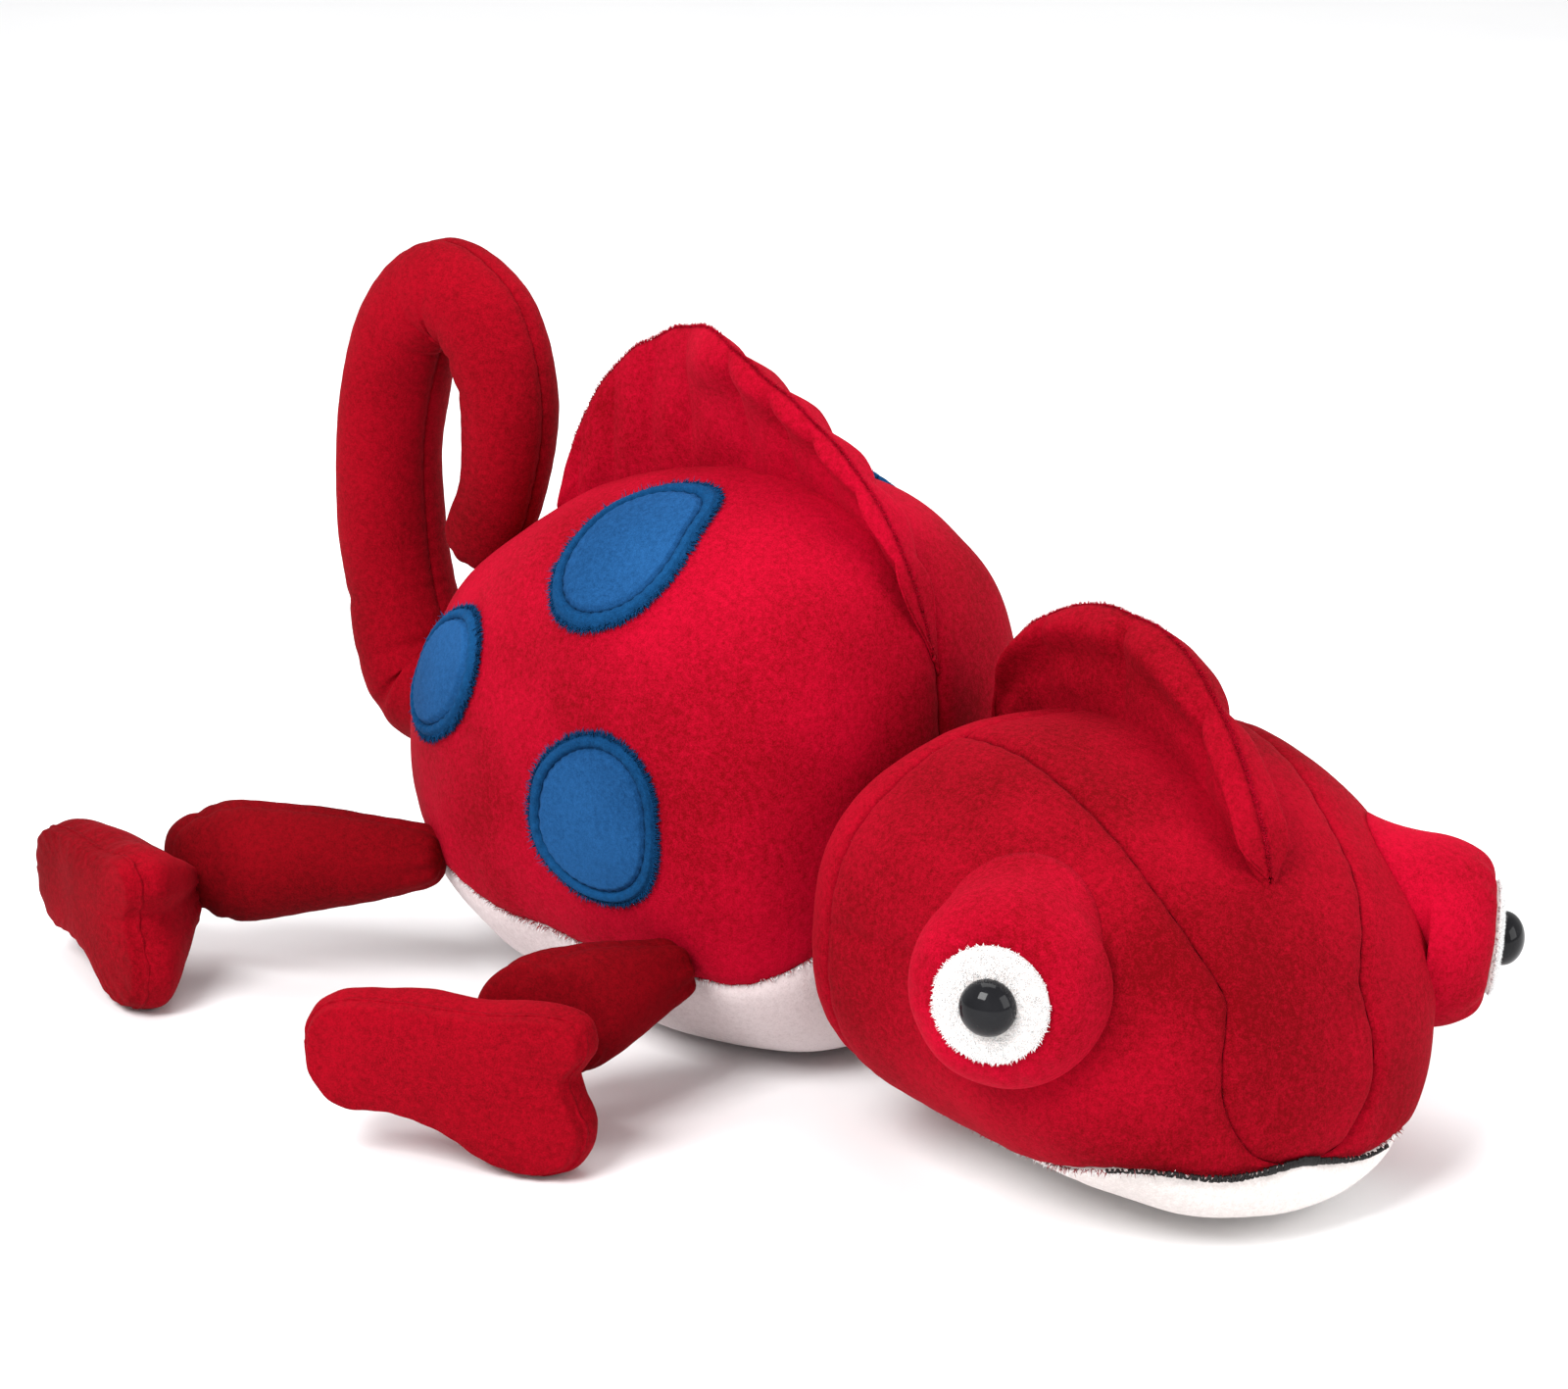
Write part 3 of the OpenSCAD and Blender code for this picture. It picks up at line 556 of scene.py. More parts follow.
for side, word in SIDES.items():
    for key in SPOTS:
        r = np.concatenate([np.linspace(0.0, 0.80, SPOT_MIDDLE_ROWS),
                            np.linspace(0.83, 1.0, SPOT_BORDER_ROWS)])
        proud = 2.1 - 1.1 * smooth(0.93, 1.0, r) - 1.25 * np.exp(-((r - 0.82) / 0.035) ** 2) + 0.3 * (1 - r)
        p, n = spot_points(key, side, r, SPOT_SECTORS, proud[:, None])
        wave = 0.25 * np.sin(np.linspace(0, 2 * math.pi * 34, SPOT_SECTORS))
        ripple = wave[None] * np.exp(-((r - 0.84) / 0.07) ** 2)[:, None]
        p = p + n * ripple[..., None]
        inner, outer = p[:SPOT_MIDDLE_ROWS + 1], p[SPOT_MIDDLE_ROWS:]
        centre = fabric(f"spot_{word}_{key}_middle", inner, BLUE, "torso", 1.0, True, TORSO_CENTRE)
        border = fabric(f"spot_{word}_{key}_border", outer, BLUE_DEEP, "torso", 1.0, True, TORSO_CENTRE)
        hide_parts(f"spot_{word}_{key}")
        outward = unit(p[-1] - p[-6])
        for k in range(SPOT_SECTORS):
            for _ in range(9):
                f = rng.random()
                root = p[-1 - int(3 * rng.random()), k] * (1 - f) + p[-1, (k + 1) % SPOT_SECTORS] * f
                way = (outward[k] * (0.9 + 0.3 * rng.random()) + n[-1, k] * rng.uniform(0, 0.8)
                       + rng.normal(0, 0.35, 3))
                EDGE_STRANDS.append((root, way, rng.uniform(1.2, 2.4), "torso", "blue"))


# ---- quilted crests -----------------------------------------------------------------------------

BACK_CREST = [[-36, 0.05], [-35, 0.4], [-28, 0.68], [-16, 0.90], [0, 1], [15, 1.02], [28, 0.98],
              [42, 0.82], [56, 0.62], [68, 0.48], [78, 0.38], [83, 0.12]]
HEAD_CREST = [[-52, 0.08], [-51, 0.5], [-45, 0.9], [-32, 1.04], [-16, 1.04], [0, 1], [16, 0.92],
              [28, 0.8], [37, 0.6], [43, 0.34], [45, 0.08]]
spine_u = np.linspace(0, 1, 200)
TORSO_SPINE = torso(spine_u, 90.0, RIGHT)[:, ::2]
HEAD_SPINE = straight_head(spine_u, 90.0, RIGHT)[:, ::2]


def crest(name, edge, spine, height, stops, lean, roll_from, place, body):
    """Both halves of a crest: two fabrics sewn together along the edge and quilted through at the stops.

    lean gives how far the top leans sideways at x, and roll_from the stretch of x over which its thick
    rolled edge comes in.
    """
    rows, cols = 200, 40
    t = np.linspace(0, 1, rows)
    line = along(edge, t)
    length = np.concatenate([[0], np.cumsum(np.linalg.norm(np.diff(line * [1, height], axis=0), axis=1))])
    s = length / length[-1]
    base = np.interp(line[:, 0], spine[:, 0], spine[:, 1])
    j = np.linspace(0, 1, cols)
    top = line[:, 1] * height
    gaps = np.abs(s[:, None] - np.asarray(stops)[None]) * length[-1]
    near = gaps.min(1)
    scallop = 1 - 0.022 * np.exp(-(near / 5) ** 2)
    for side, word in SIDES.items():
        z = base[:, None] - 1.5 + (top * scallop + 1.5)[:, None] * j[None]
        puff = ((0.2 + 0.8 * (1 - np.exp(-near / 3.5)))[:, None]
                * (smooth(-0.1, 0.35, j) * np.sqrt(1 - j ** 3))[None])
        roll = smooth(*roll_from, line[:, 0])[:, None] * np.exp(-((j - 0.80) / 0.2) ** 2)[None]
        half = ((0.9 + 1.5 * (1 - j) ** 2)[None] + 2.9 * puff
                + 4.2 * roll * (0.5 + 0.5 * (1 - np.exp(-near / 3.5)))[:, None])
        seam_side = np.sqrt(1 - np.clip((j - 0.8) / 0.2, 0, 1) ** 2)[None]
        ends = smooth(-0.02, 0.05, s)[:, None] * smooth(1.02, 0.93, s)[:, None]
        half = np.maximum(half * (0.12 + 0.88 * seam_side) * ends, 0.25)
        x = np.broadcast_to(line[:, :1], z.shape)
        p = np.stack([x, side * half, z], -1)
        q = noise(np.stack([x, z, x * 0 + side * 50], -1), 7, 5)
        p[..., 1] += side * 0.5 * q * seam_side
        tilt = lean(line[:, 0])[:, None] * (j ** 1.6)[None] * (top[:, None] / height)
        p[..., 1] += tilt
        p[..., 2] -= 0.012 * tilt ** 2
        p = place(p)
        away = place(np.array([line[:, 0].mean(), -side * 60, base.mean() + 10]))
        piece = fabric(f"{name}_{word}_skin", p, RED if body == "torso" else RED_HEAD_PAINTED_SHADE, body, 0.7, away=away)
        soft(piece, "red_plush", f"{name}_{word}", f"{name}_filling", fill=0.6)
        top_edge = p[:, -1]
        up = unit(p[:, -1] - p[:, -5])
        for k in range(rows - 1):
            for _ in range(7):
                f = rng.random()
                root = top_edge[k] * (1 - f) + top_edge[k + 1] * f
                way = up[k] + rng.normal(0, 0.45, 3)
                EDGE_STRANDS.append((root, way, rng.uniform(0.7, 1.4), body, "red"))


def unchanged(p):
    """The torso's own place, where the head has place_head."""
    return p


crest("back_crest", BACK_CREST, TORSO_SPINE, 34, [0.14, 0.24, 0.33, 0.42, 0.56, 0.66, 0.75, 0.84, 0.92],
      lambda x: -14 * smooth(-6, 40, x) + 1.0 * np.sin(x / 14), (2, 18), unchanged, "torso")
crest("head_crest", HEAD_CREST, HEAD_SPINE, 23, [0.25, 0.47, 0.74],
      lambda x: -3 * smooth(-10, 30, x) - 8 * smooth(-20, -48, x) + 0.8 * np.sin(x / 11),
      (-60, -45), place_head, "head")


# ---- eyes ---------------------------------------------------------------------------------------

EYE_FORWARD, EYE_OUT, EYE_HEIGHT, EYE_TURN = 31, 57, 57, math.radians(52)
TURRET_R, TURRET_H, DISC_R, DISC_T, EYE_R, DOME_H, SEAM_GAP = 22.2, 16, 12.9, 2, 6.3, 5, 0.3
TURRET_BASE = (0.63, 20, 0.09, 29)


def eye_point(side, r, h, t):
    """A point at radius r, height h and turn t round the eye's own axis."""
    r, h, t = np.broadcast_arrays(np.asarray(r, float), np.asarray(h, float), np.asarray(t, float))
    return place_head(np.stack([
        EYE_FORWARD + h * math.cos(EYE_TURN) - r * np.cos(t) * math.sin(EYE_TURN),
        side * (EYE_OUT + h * math.sin(EYE_TURN) + r * np.cos(t) * math.cos(EYE_TURN)),
        EYE_HEIGHT + r * np.sin(t)], -1))


def eye_axis(side):
    return eye_point(side, 0, 1, 0) - eye_point(side, 0, 0, 0)


def lathe(name, side, profile, material, body, sectors=96):
    """A round solid on the eye's axis from (radius, height) pairs that start and end on the axis."""
    t = np.linspace(0, 2 * math.pi, sectors, endpoint=False)[None]
    profile = np.asarray(profile, float)
    p = eye_point(side, profile[:, :1], profile[:, 1:], t)
    rows = len(profile)
    faces = grid_quads(rows, sectors, True).tolist()
    piece = add_object(name, p.reshape(-1, 3), faces, material, body)
    tidy_mesh(piece)
    return piece


for side, word in SIDES.items():
    t = np.linspace(0, 2 * math.pi, 120, endpoint=False)[None]
    base = head(TURRET_BASE[0] - TURRET_BASE[2] * np.cos(t[0]),
                TURRET_BASE[1] + TURRET_BASE[3] * np.sin(t[0]), side, 0.0)
    sunk = head(TURRET_BASE[0] - TURRET_BASE[2] * 0.94 * np.cos(t[0]),
                TURRET_BASE[1] + TURRET_BASE[3] * 0.94 * np.sin(t[0]), side, -1.6)
    tilt = np.radians(np.linspace(4, 90, 40))[:, None]
    dome_r = DISC_R - 1.0 + (TURRET_R - DISC_R + 1.0) * np.cos(tilt) ** 0.85
    dome = eye_point(side, dome_r, TURRET_H * np.sin(tilt), t)
    mix = np.linspace(0, 1, 8)[1:-1, None, None]
    rise = base[None] * (1 - mix) + dome[:1] * mix
    lid = eye_point(side, np.linspace(DISC_R - 2, 4, 5)[:, None], TURRET_H, t)
    p = np.concatenate([sunk[None], base[None], rise, dome, lid])
    bulge = np.concatenate([[0, 0], 0.3 * np.sin(np.linspace(0, math.pi / 2, 6)), 0.3 * np.ones(40),
                            np.zeros(5)])
    hub = eye_point(side, 0, 4, 0)
    n = unit(p - hub)
    near_rim = np.exp(-((np.arange(len(p)) - 34) / 9.0) ** 2)[:, None]
    gather = 0.35 * np.sin(11 * t + 2 * np.sin(3 * t)) * near_rim
    p = p + n * (bulge[:, None] + gather + 0.35 * noise(p, 14, 31))[..., None]
    piece = fabric(f"eye_turret_{word}_skin", p, RED, "head", 1.0, True, away=hub)
    soft(piece, "red_plush", f"eye_turret_{word}", f"eye_turret_filling_{word}", fill=0.8)

    top = TURRET_H + SEAM_GAP
    ring = [(0, top - 0.6), (DISC_R - 0.8, top - 0.6), (DISC_R, top), (DISC_R - 0.1, top + 0.7)]
    ring += [(DISC_R * math.cos(a) ** 0.6 if a < 1.5 else 0, top + 0.7 + 1.5 * math.sin(a))
             for a in np.linspace(0.15, math.pi / 2, 14)]
    piece = lathe(f"eye_disc_{word}_skin", side, ring, WHITE, "head")
    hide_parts(f"eye_disc_{word}", f"eye_washer_{word}")
    axis = eye_axis(side)
    for k in range(5200):
        r, a = DISC_R * math.sqrt(rng.uniform(0.17, 1.0)), rng.uniform(0, 2 * math.pi)
        h = top + 0.7 + 1.5 * math.sqrt(max(1 - (r / DISC_R) ** 3, 0))
        root = eye_point(side, r, h - 0.4, a)
        out = unit(root - eye_point(side, 0, h - 0.4, a))
        lay = 0.6 * smooth(0.7, 1.0, r / DISC_R) + 0.2
        way = axis + out * lay + rng.normal(0, 0.35, 3)
        EDGE_STRANDS.append((root, way, rng.uniform(0.7, 1.3), "head", "white"))

    foot = top + DISC_T
    dome = [(0, foot - 3), (EYE_R - 0.8, foot - 3), (EYE_R - 0.1, foot + 0.2), (EYE_R, foot + 0.6)]
    dome += [(EYE_R * math.cos(a) if a < 1.56 else 0, foot + 1 + DOME_H * math.sin(a))
             for a in np.linspace(0.05, math.pi / 2, 26)]
    piece = lathe(f"safety_eye_{word}_dome", side, dome, EYE_BLACK, "head", 128)
    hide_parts(f"safety_eye_{word}")


# ---- tail ---------------------------------------------------------------------------------------

TAIL_LINE = [[-79.6, 60], [-89.5, 63.5], [-97, 83], [-100, 104], [-98.5, 131], [-90.5, 155],
             [-77, 165.5], [-63, 159], [-56.5, 141], [-60, 118], [-70, 97]]
TAIL_SHARES = [[0], [0.1], [0.4], [0.6], [0.75], [0.9], [1], [1], [1], [0.95], [0.9]]
TAIL_RUN = 330                          # root to tip in the folds' own units, not its true length
# Folds across the tail: (place along it from 0 to 1, relative depth, width)
TAIL_FOLDS = [(0.085, 2.6, 3.2), (0.14, 1.9, 3.0), (0.20, 1.0, 3.0), (0.50, 0.9, 3.0), (0.56, 1.3, 3.0),
              (0.615, 1.5, 3.0), (0.67, 1.3, 3.0), (0.73, 1.2, 3.0), (0.79, 1.0, 3.0)]
TAIL_ROOT_R, TAIL_CURL_R, TIP_ROUND = 15, 13, 0.94


def tail_frame(u):
    """Middle line, outward direction and radius of the tail at u from its root to its tip."""
    c = along(TAIL_LINE, u)
    way = unit(along(TAIL_LINE, np.minimum(u + 0.004, 1)) - along(TAIL_LINE, np.maximum(u - 0.004, 0)))
    late = np.maximum(u - TIP_ROUND, 0) / (1 - TIP_ROUND)
    thin = np.where(u > 0.75, 1 - 0.9 * (u - 0.75), 1)
    r = TAIL_ROOT_R + (TAIL_CURL_R - TAIL_ROOT_R) * np.minimum(along(TAIL_SHARES, u)[..., 0], 1)
    return c, np.stack([-way[..., 1], way[..., 0]], -1), r * thin * np.sqrt(np.maximum(1 - late ** 2, 0))


for side, word in SIDES.items():
    tip_u = 0.9 + 0.1 * np.sin(np.linspace(0.02, math.pi / 2, 40))
    u = np.concatenate([np.linspace(0, 0.9, 230), tip_u])[:, None]
    phi = np.radians(np.linspace(-90, 90, 60))[None]
    c, out, r = tail_frame(u)
    r = r * (1 + 0.12 * np.exp(-(u / 0.02) ** 2))
    c = c + np.exp(-(u / 0.018) ** 2)[..., None] * [10.5, -0.5]
    ring = r * np.sin(phi)
    p = np.stack([c[..., 0] + ring * out[..., 0], side * r * np.cos(phi), c[..., 1] + ring * out[..., 1]], -1)
    n = unit(p - np.stack([c[..., 0], c[..., 0] * 0, c[..., 1]], -1) + 1e-6)
    run = u * TAIL_RUN
    inner = (1 - np.sin(phi)) / 2
    fold = 0
    for place, size, wide in TAIL_FOLDS:
        spot = np.stack(np.broadcast_arrays(phi * 8, place * 90, side * 20 + 0 * ring), -1)
        wander = 3.0 * noise(spot, 9, 3)
        bias = inner if place > 0.4 else 0.35 + 0.65 * (np.sin(phi * 1.3 + place * 30) * 0.5 + 0.5)
        fold = fold + 0.62 * size * bias ** 1.5 * np.exp(-((run + wander - place * TAIL_RUN) / wide) ** 2)
    edge_gap = r * np.minimum(phi + math.pi / 2, math.pi / 2 - phi)
    tip_gap = (1 - u) * TAIL_RUN + 0 * edge_gap
    move = (0.9 * noise(p, 17, 41) - fold - crease(edge_gap, 1.1, 1.5) - crease(tip_gap, 1.0, 3.0)
            + pucker(edge_gap, run, 43, 0.12, 6, 7.0)
            + 0.7 * np.sin(9 * phi + 1) * np.exp(-tip_gap / 7))
    p = p + n * (move * np.minimum(r / 6, 1))[..., None]
    piece = fabric(f"tail_{word}_skin", p, RED_PAINTED_SHADE, "tail", 0.9, away=(-84, -side * 4, 100))
    soft(piece, "red_plush", f"tail_{word}_panel", "tail_filling")


# ---- legs and feet ------------------------------------------------------------------------------

# Front and rear: root, ankle, the way the sole faces in degrees, how far in mm the foot is moved towards
# its heel, and how far its toes are raised in degrees
LEGS = {"f": ((50.2, -54.4, 33), (37, -92, 27), -66, 10, 0),
        "r": ((-44.5, -43, 35), (-100, -73, 28), -110, 4, 6)}
LEG_PROFILE = [[-0.07, 0], [-0.05, 0.38], [0.01, 0.52], [0.12, 0.62], [0.3, 0.75], [0.52, 0.88], [0.75, 0.98],
               [0.88, 0.96], [0.98, 0.80], [1.05, 0.52], [1.07, 0]]
SOLE = [[-0.49, 0.02], [-0.46, 0.12], [-0.36, 0.18], [-0.14, 0.195], [0.13, 0.19], [0.36, 0.21], [0.47, 0.18],
        [0.49, 0.09], [0.43, 0], [0.455, -0.09], [0.49, -0.18], [0.44, -0.30], [0.32, -0.35], [0.16, -0.32],
        [0, -0.235], [-0.19, -0.19], [-0.37, -0.185], [-0.47, -0.10]]
LEG_R, FOOT_T, SOLE_LEN, SOLE_Z, TIP_DROP, ANKLE_GAP = 15.5, 25, 70, 24.8, 0.36, 1.2
UPPER = [[0, 1], [0.12, 1], [0.3, 0.98], [0.5, 0.85], [0.72, 0.66], [0.9, 0.46], [1, 0.34], [1, 0]]


def mirrored(key, p):
    """The right side's points as they are, the left side's mirrored."""
    return p if key[1] == "r" else p * [1, -1, 1]


def leg(key):
    """A stuffed leg with closed, rounded ends, from inside the torso to the foot."""
    root, ankle, azimuth, _, _ = LEGS[key[0]]
    root, ankle = np.array(root, float), np.array(ankle, float)
    n = np.array([math.cos(math.radians(azimuth)), math.sin(math.radians(azimuth)), 0])
    u = np.linspace(0, 1, 70)[:, None]
    t = np.linspace(0, 2 * math.pi, 90, endpoint=False)[None]
    s = along(LEG_PROFILE, u)
    share = s[..., 0]
    turn = np.clip(share, 0, 1)[..., None] ** 2
    way = unit(unit(ankle - root) * (1 - turn) + n * turn)
    across = unit(np.cross(way, [0, 0, 1]))
    up = np.cross(across, way)
    c = root + (ankle - root) * share[..., None]
    r = LEG_R * s[..., 1]
    p = c + (r * np.cos(t))[..., None] * across + (r * np.sin(t))[..., None] * up
    out = unit(p - c)
    length = np.linalg.norm(ankle - root)
    run = share * length
    side_seam = r * np.minimum(np.abs(t - math.pi / 2), np.abs(t - 3 * math.pi / 2))
    root_fold = 0.45 * np.sin(7 * t + 1.3 * np.sin(2 * t)) * np.exp(-np.maximum(run, 0) / 9)
    ankle_fold = 0
    for back, size in ((4.0, 1.4), (9.5, 0.7)):
        wander = 2.2 * noise(np.stack([r * np.cos(t), r * np.sin(t), 0 * r * t + back], -1), 9, 5)
        ankle_fold = ankle_fold + size * np.exp(-((run + wander - length + back) / 2.2) ** 2)
    move = (0.9 * noise(p, 15, 51) + root_fold - ankle_fold - crease(side_seam, 1.1, 1.6)
            + pucker(side_seam, run + 0 * t, 53, 0.15, 5, 6.5))
    p = rest_on_floor(mirrored(key, p + out * move[..., None]))
    middle = mirrored(key, (root + ankle) / 2)
    piece = fabric(f"leg_skin_{key}_soft", p, RED_LEG_DYE_AND_PAINTED_SHADE, f"leg_{key}", 0.9, True, away=middle)
    soft(piece, "red_plush", f"leg_skin_{key}", f"leg_filling_{key}", fill=0.6)


def foot(key):
    """A flat-soled stuffed foot with two toe lobes, its sole sewn to the upper."""
    _, ankle, azimuth, shift, tip = LEGS[key[0]]
    sole_z, tip = SOLE_Z - tip * TIP_DROP, math.radians(tip)
    n = np.array([math.cos(math.radians(azimuth)), math.sin(math.radians(azimuth)), 0])
    toe = np.array([-n[1], n[0], 0])
    lean = toe * math.cos(tip) + [0, 0, math.sin(tip)]
    rise = np.array([0, 0, math.cos(tip)]) - toe * math.sin(tip)
    middle = np.array([ankle[0], ankle[1], sole_z]) + n * (FOOT_T + ANKLE_GAP) - toe * shift
    k = np.linspace(0, 1, 220, endpoint=False)
    line = around(SOLE, k)
    outline = line * SOLE_LEN
    rim = np.concatenate([[0], np.cumsum(np.linalg.norm(np.diff(outline, axis=0), axis=1))])

    def rings(size, depth):
        """The sole's outline scaled by size, depth back from the sole."""
        q = outline[None] * np.asarray(size, float)[:, None, None]
        d = np.asarray(depth, float)[:, None, None]
        return middle + q[..., :1] * lean + q[..., 1:] * rise - n * d

    def settle(p):
        return rest_on_floor(mirrored(key, p))

    hub = mirrored(key, middle - n * 12)
    run = np.broadcast_to(rim[None], (46, len(rim)))
    size = np.concatenate([np.linspace(0, 0.86, 30), np.linspace(0.885, 1.0, 16)])
    pad = rings(size, np.zeros(46))
    crown = (2.3 * (1 - size ** 4) - 2.2 * smooth(0.955, 1.0, size)
             - 1.0 * np.exp(-((size - 0.975) / 0.02) ** 2))
    gap = (1 - size)[:, None] * 24
    pad = pad + n * (crown[:, None] + pucker(gap, run, 61, 0.2, 5, 6.5) + 0.6 * noise(pad, 14, 63))[..., None]
    piece = fabric(f"sole_{key}_soft", settle(pad), RED_PAINTED_SHADE, f"foot_{key}", 0.9, True, away=hub, closed=True)
    soft(piece, "red_plush", f"sole_{key}", fill=0.6)

    v = np.linspace(0, 1, 46)
    form = along(UPPER, v)
    side_wall = rings(form[:, 1], form[:, 0] * FOOT_T + 1.2)
    out = np.gradient(outline, axis=0)
    out = unit(np.stack([out[:, 1], -out[:, 0]], -1))
    if (out * outline).sum() < 0:
        out = -out
    out3 = out[:, :1] * lean + out[:, 1:] * rise
    down = arc_lengths(side_wall, 0)
    groove = crease(down, 1.9, 1.6)
    swell = 1.3 * np.sin(np.clip(down / 20, 0, 1) * math.pi)
    ankle_pull = 0.9 * np.sin(13 * k * 2 * math.pi)[None] * np.exp(-(down[-1:] - down - 8) ** 2 / 60)
    move = pucker(down, run, 61, 0.25, 6, 6.5) + swell - groove + 0.8 * noise(side_wall, 14, 65)
    side_wall = side_wall + out3[None] * move[..., None] - n * (0.4 * ankle_pull)[..., None]
    piece = fabric(f"foot_upper_{key}_soft", settle(side_wall), RED_PAINTED_SHADE, f"foot_{key}", 0.9, True, away=hub)
    soft(piece, "red_plush", f"foot_upper_{key}", f"foot_filling_{key}", fill=0.6)


for key in ("fr", "fl", "rr", "rl"):
    leg(key)
    foot(key)


# ---- mouth and loose pile -----------------------------------------------------------------------

def mouth():
    """Black satin stitches, a little uneven, on the seam between the cheeks and the chin."""
    t = np.linspace(-1, 0.75, 150)
    u = 0.75 + 0.25 * (1 - t ** 2)
    angle = chin_edge(u) + 3.5
    line = np.where((t < 0)[:, None], head(u, angle, RIGHT), head(u, angle, LEFT))
    way = unit(np.gradient(line, axis=0))
    out = unit(line - np.array(HEAD_MIDDLE))
    across = unit(np.cross(way, out))
    points, faces = [], []
    for k in range(150):
        wide = (1.0 + rng.uniform(-0.25, 0.3)) * min(1, 0.3 + 1.6 * min(1 + t[k], 0.75 - t[k]))
        slant = rng.uniform(-0.25, 0.25)
        for _ in range(2):
            c = line[k] + way[k] * rng.uniform(-0.2, 0.2)
            base = len(points)
            for j in range(7):
                s = j / 6 * 2 - 1
                proud = 0.25 + 0.5 * math.sqrt(max(1 - s * s, 0))
                spot = c + across[k] * s * wide + way[k] * slant * s * 2 + out[k] * proud
                for a in range(5):
                    turn = 2 * math.pi * a / 5
                    points.append(spot + 0.30 * (math.cos(turn) * way[k] + math.sin(turn) * out[k]))
            faces += (grid_quads(7, 5, True) + base).tolist()
            faces += [[base + a for a in range(5)], [base + 34 - a for a in range(5)]]
    piece = add_object("mouth_stitches", points, faces, THREAD, "head")
    tidy_mesh(piece)
    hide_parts("mouth_embroidery")


mouth()


def seam_strands(line, away, kind, body, per_mm=2.2, longest=1.8):
    """Loose pile standing along a sewn line."""
    steps = np.linalg.norm(np.diff(line, axis=0), axis=1)
    for a, b, step in zip(line[:-1], line[1:], steps):
        out = unit((a + b) / 2 - np.asarray(away, float))
        for _ in range(int(step * per_mm + rng.random())):
            f = rng.random()
            way = out + rng.normal(0, 0.55, 3)
            root = a * (1 - f) + b * f - out * 1.6
            EDGE_STRANDS.append((root, way, rng.uniform(0.8, longest) + 0.9, body, kind))


run_u = np.linspace(0.02, 0.98, 160)
for side in SIDES:
    seam_strands(torso(run_u, belly_edge(run_u), side), TORSO_CENTRE, "white", "torso", 1.5, 1.1)
    seam_strands(torso(run_u, belly_edge(run_u) + 0.8, side), TORSO_CENTRE, "red", "torso", 1.5, 1.1)
    chin_u = np.linspace(0.37, 0.86, 120)
    seam_strands(head(chin_u, chin_edge(chin_u), side), HEAD_MIDDLE, "white", "head", 1.6, 1.3)
    seam_strands(head(chin_u, chin_edge(chin_u) + 0.6, side), HEAD_MIDDLE, "red", "head", 1.6, 1.3)


def strands():
    """Every loose strand as a thin three-sided spike, one object for each body and colour."""
    looks = {"white": (FUZZ_WHITE, "white_plush", 0.16), "red": (RED, "red_plush", 0.13),
             "blue": (BLUE_DEEP, "blue_plush", 0.15)}
    groups = {}
    for root, way, length, body, kind in EDGE_STRANDS:
        groups.setdefault((body, kind), []).append((*root, *way, length))
    for (body, kind), rows in sorted(groups.items()):
        rows = np.array(rows)
        root, way, length = rows[:, :3], unit(rows[:, 3:6]), rows[:, 6:7]
        material, slot, wide = looks[kind]
        a = unit(np.cross(way, unit(rng.normal(0, 1, way.shape))))
        b = np.cross(way, a)
        bend = a * length * rng.uniform(-0.35, 0.35, (len(rows), 1))
        points = []
        for k in range(3):
            turn = 2 * math.pi * k / 3
            points.append(root + wide * (math.cos(turn) * a + math.sin(turn) * b))
        for k in range(3):
            turn = 2 * math.pi * k / 3
            points.append(root + way * length * 0.55 + bend * 0.3
                          + 0.7 * wide * (math.cos(turn) * a + math.sin(turn) * b))
        points.append(root + way * length + bend)
        points = np.stack(points, 1)
        points[..., 2] = np.maximum(points[..., 2], 0.05)
        cell = [[0, 2, 1], [0, 1, 4, 3], [1, 2, 5, 4], [2, 0, 3, 5], [3, 4, 6], [4, 5, 6], [5, 3, 6]]
        faces = [[i + 7 * k for i in face] for k in range(len(rows)) for face in cell]
        piece = add_object(f"loose_pile_{body}_{kind}", points.reshape(-1, 3), faces, material, body)


strands()


# ---- floor, lights and camera -------------------------------------------------------------------

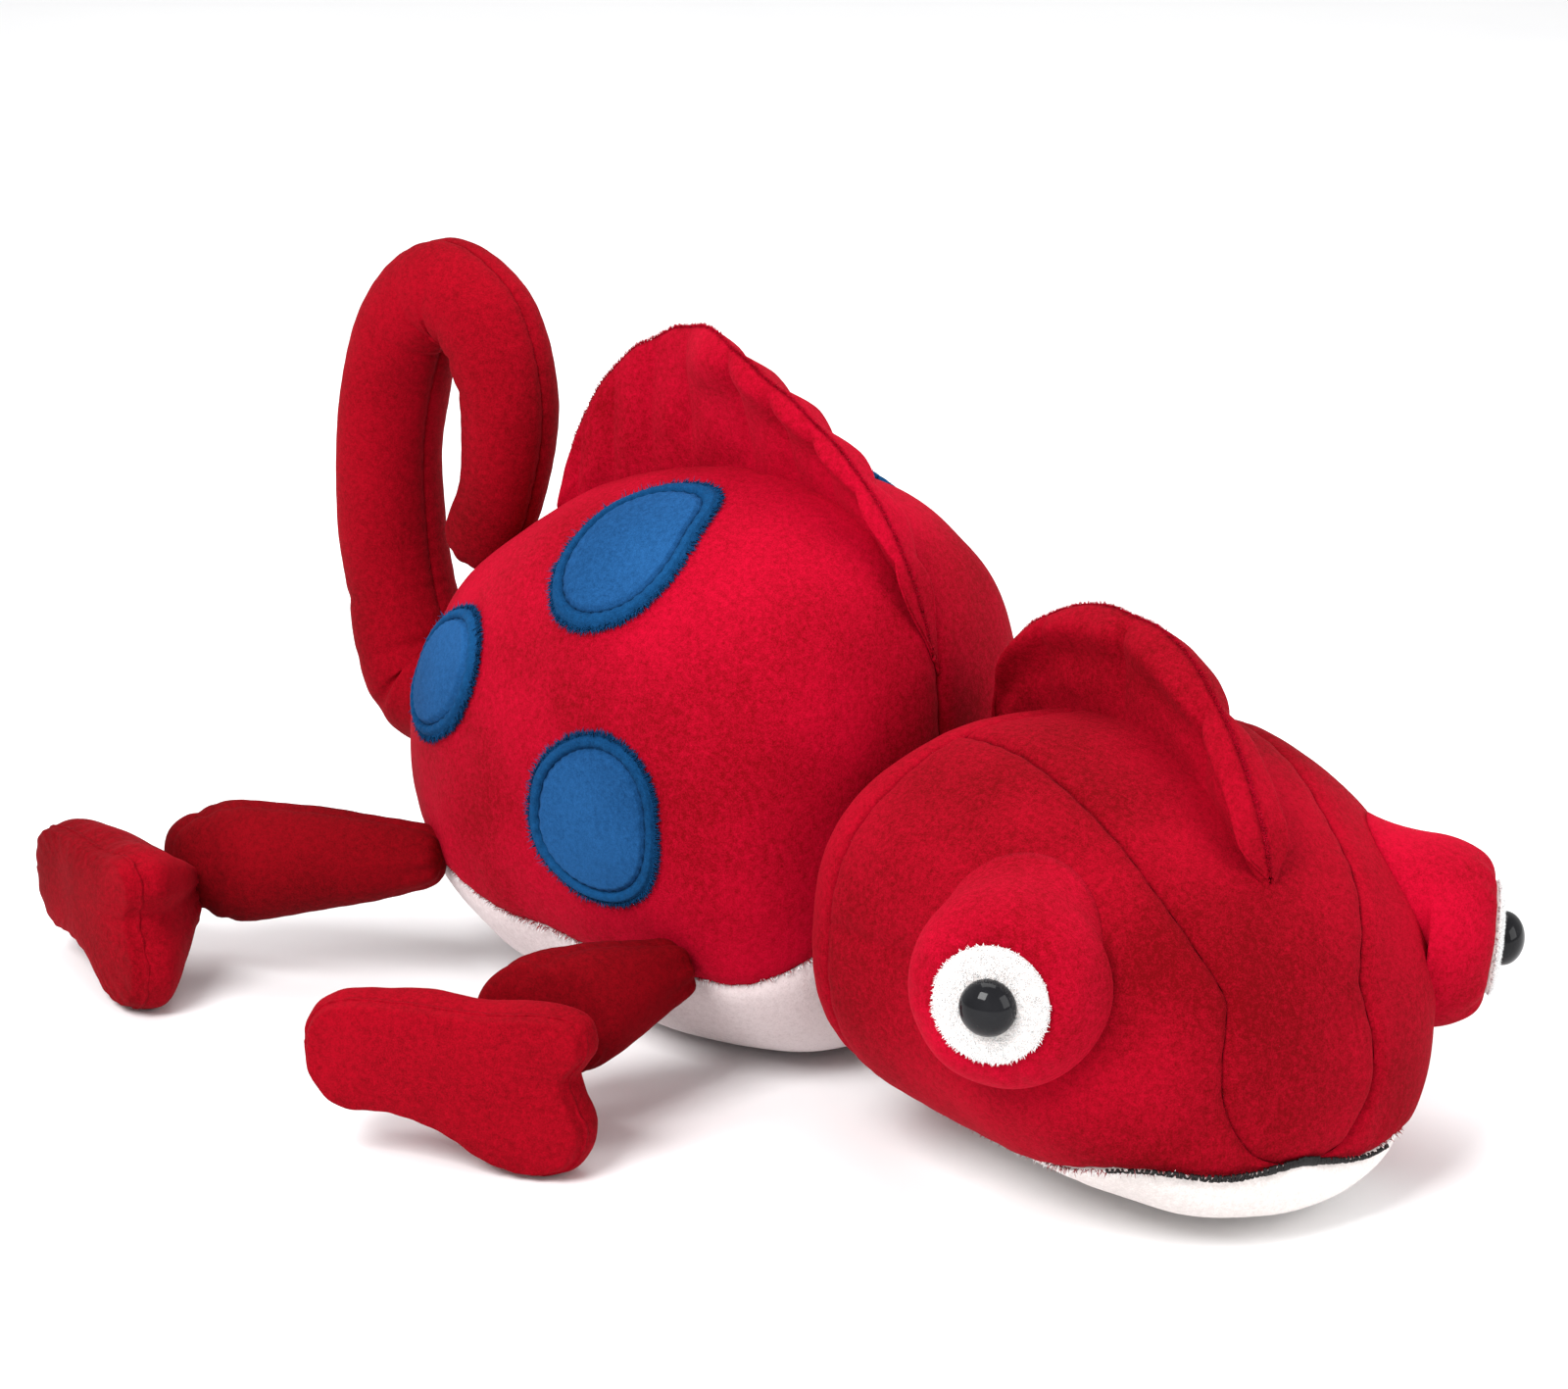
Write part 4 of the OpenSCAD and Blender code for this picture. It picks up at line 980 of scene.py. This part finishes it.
def floor():
    """A wide white table top, in strips."""
    points = []
    for j in range(13):
        y = 0.9 * (j / 12 - 0.5) * 6
        points += [(x, y, -0.0002) for x in (-3.0, 3.0)]
    mesh = bpy.data.meshes.new("table_top")
    mesh.from_pydata(points, [], [[2 * j, 2 * j + 1, 2 * j + 3, 2 * j + 2] for j in range(12)])
    piece = bpy.data.objects.new("table_top", mesh)
    bpy.context.scene.collection.objects.link(piece)
    material, nodes, links, shader = node_material("white_table", 0.6)
    place = nodes.new("ShaderNodeTexCoord")
    paper = noise_node(nodes, links, place, 8, 3.0)
    ramp = nodes.new("ShaderNodeValToRGB")
    ramp.color_ramp.elements[0].color = (0.86, 0.86, 0.87, 1)
    ramp.color_ramp.elements[1].color = (0.92, 0.92, 0.92, 1)
    links.new(paper.outputs["Fac"], ramp.inputs["Fac"])
    links.new(ramp.outputs["Color"], shader.inputs["Base Color"])
    mesh.materials.append(material)


def softbox(name, spot, target, size, power):
    """A rectangular light at spot, facing target."""
    light = bpy.data.lights.new(name, "AREA")
    light.shape = "RECTANGLE"
    light.size, light.size_y = size
    light.energy = power
    lamp = bpy.data.objects.new(name, light)
    bpy.context.scene.collection.objects.link(lamp)
    lamp.location = spot
    lamp.rotation_euler = (Vector(target) - Vector(spot)).to_track_quat("-Z", "Y").to_euler()


def camera():
    """A long lens, 48 degrees round from the front towards the right side, and 18 degrees up."""
    data = bpy.data.cameras.new("camera")
    data.sensor_fit = "HORIZONTAL"
    data.sensor_width = 36
    data.lens = 114.885
    eye = bpy.data.objects.new("camera", data)
    bpy.context.scene.collection.objects.link(eye)
    back = Vector((math.cos(math.radians(48)) * math.cos(math.radians(18)),
                   -math.sin(math.radians(48)) * math.cos(math.radians(18)), math.sin(math.radians(18))))
    eye.location = Vector((0.035, 0, 0.084)) + back * 1.2
    eye.rotation_euler = (-back).to_track_quat("-Z", "Y").to_euler()
    bpy.context.scene.camera = eye


floor()
softbox("key", (0.15, -1.1, 1.15), (0.03, 0, 0.07), (0.7, 0.7), 26)
softbox("fill", (1.3, 0.25, 0.6), (0.05, 0, 0.06), (0.9, 0.9), 9)
softbox("top", (-0.25, 0.35, 1.3), (0.0, 0, 0.08), (1.0, 1.0), 11)
camera()

world = bpy.data.worlds.new("studio")
world.use_nodes = True
world.node_tree.nodes["Background"].inputs["Color"].default_value = (1, 1, 1, 1)
world.node_tree.nodes["Background"].inputs["Strength"].default_value = 0.75
bpy.context.scene.world = world
bpy.context.scene.view_settings.view_transform = "Standard"
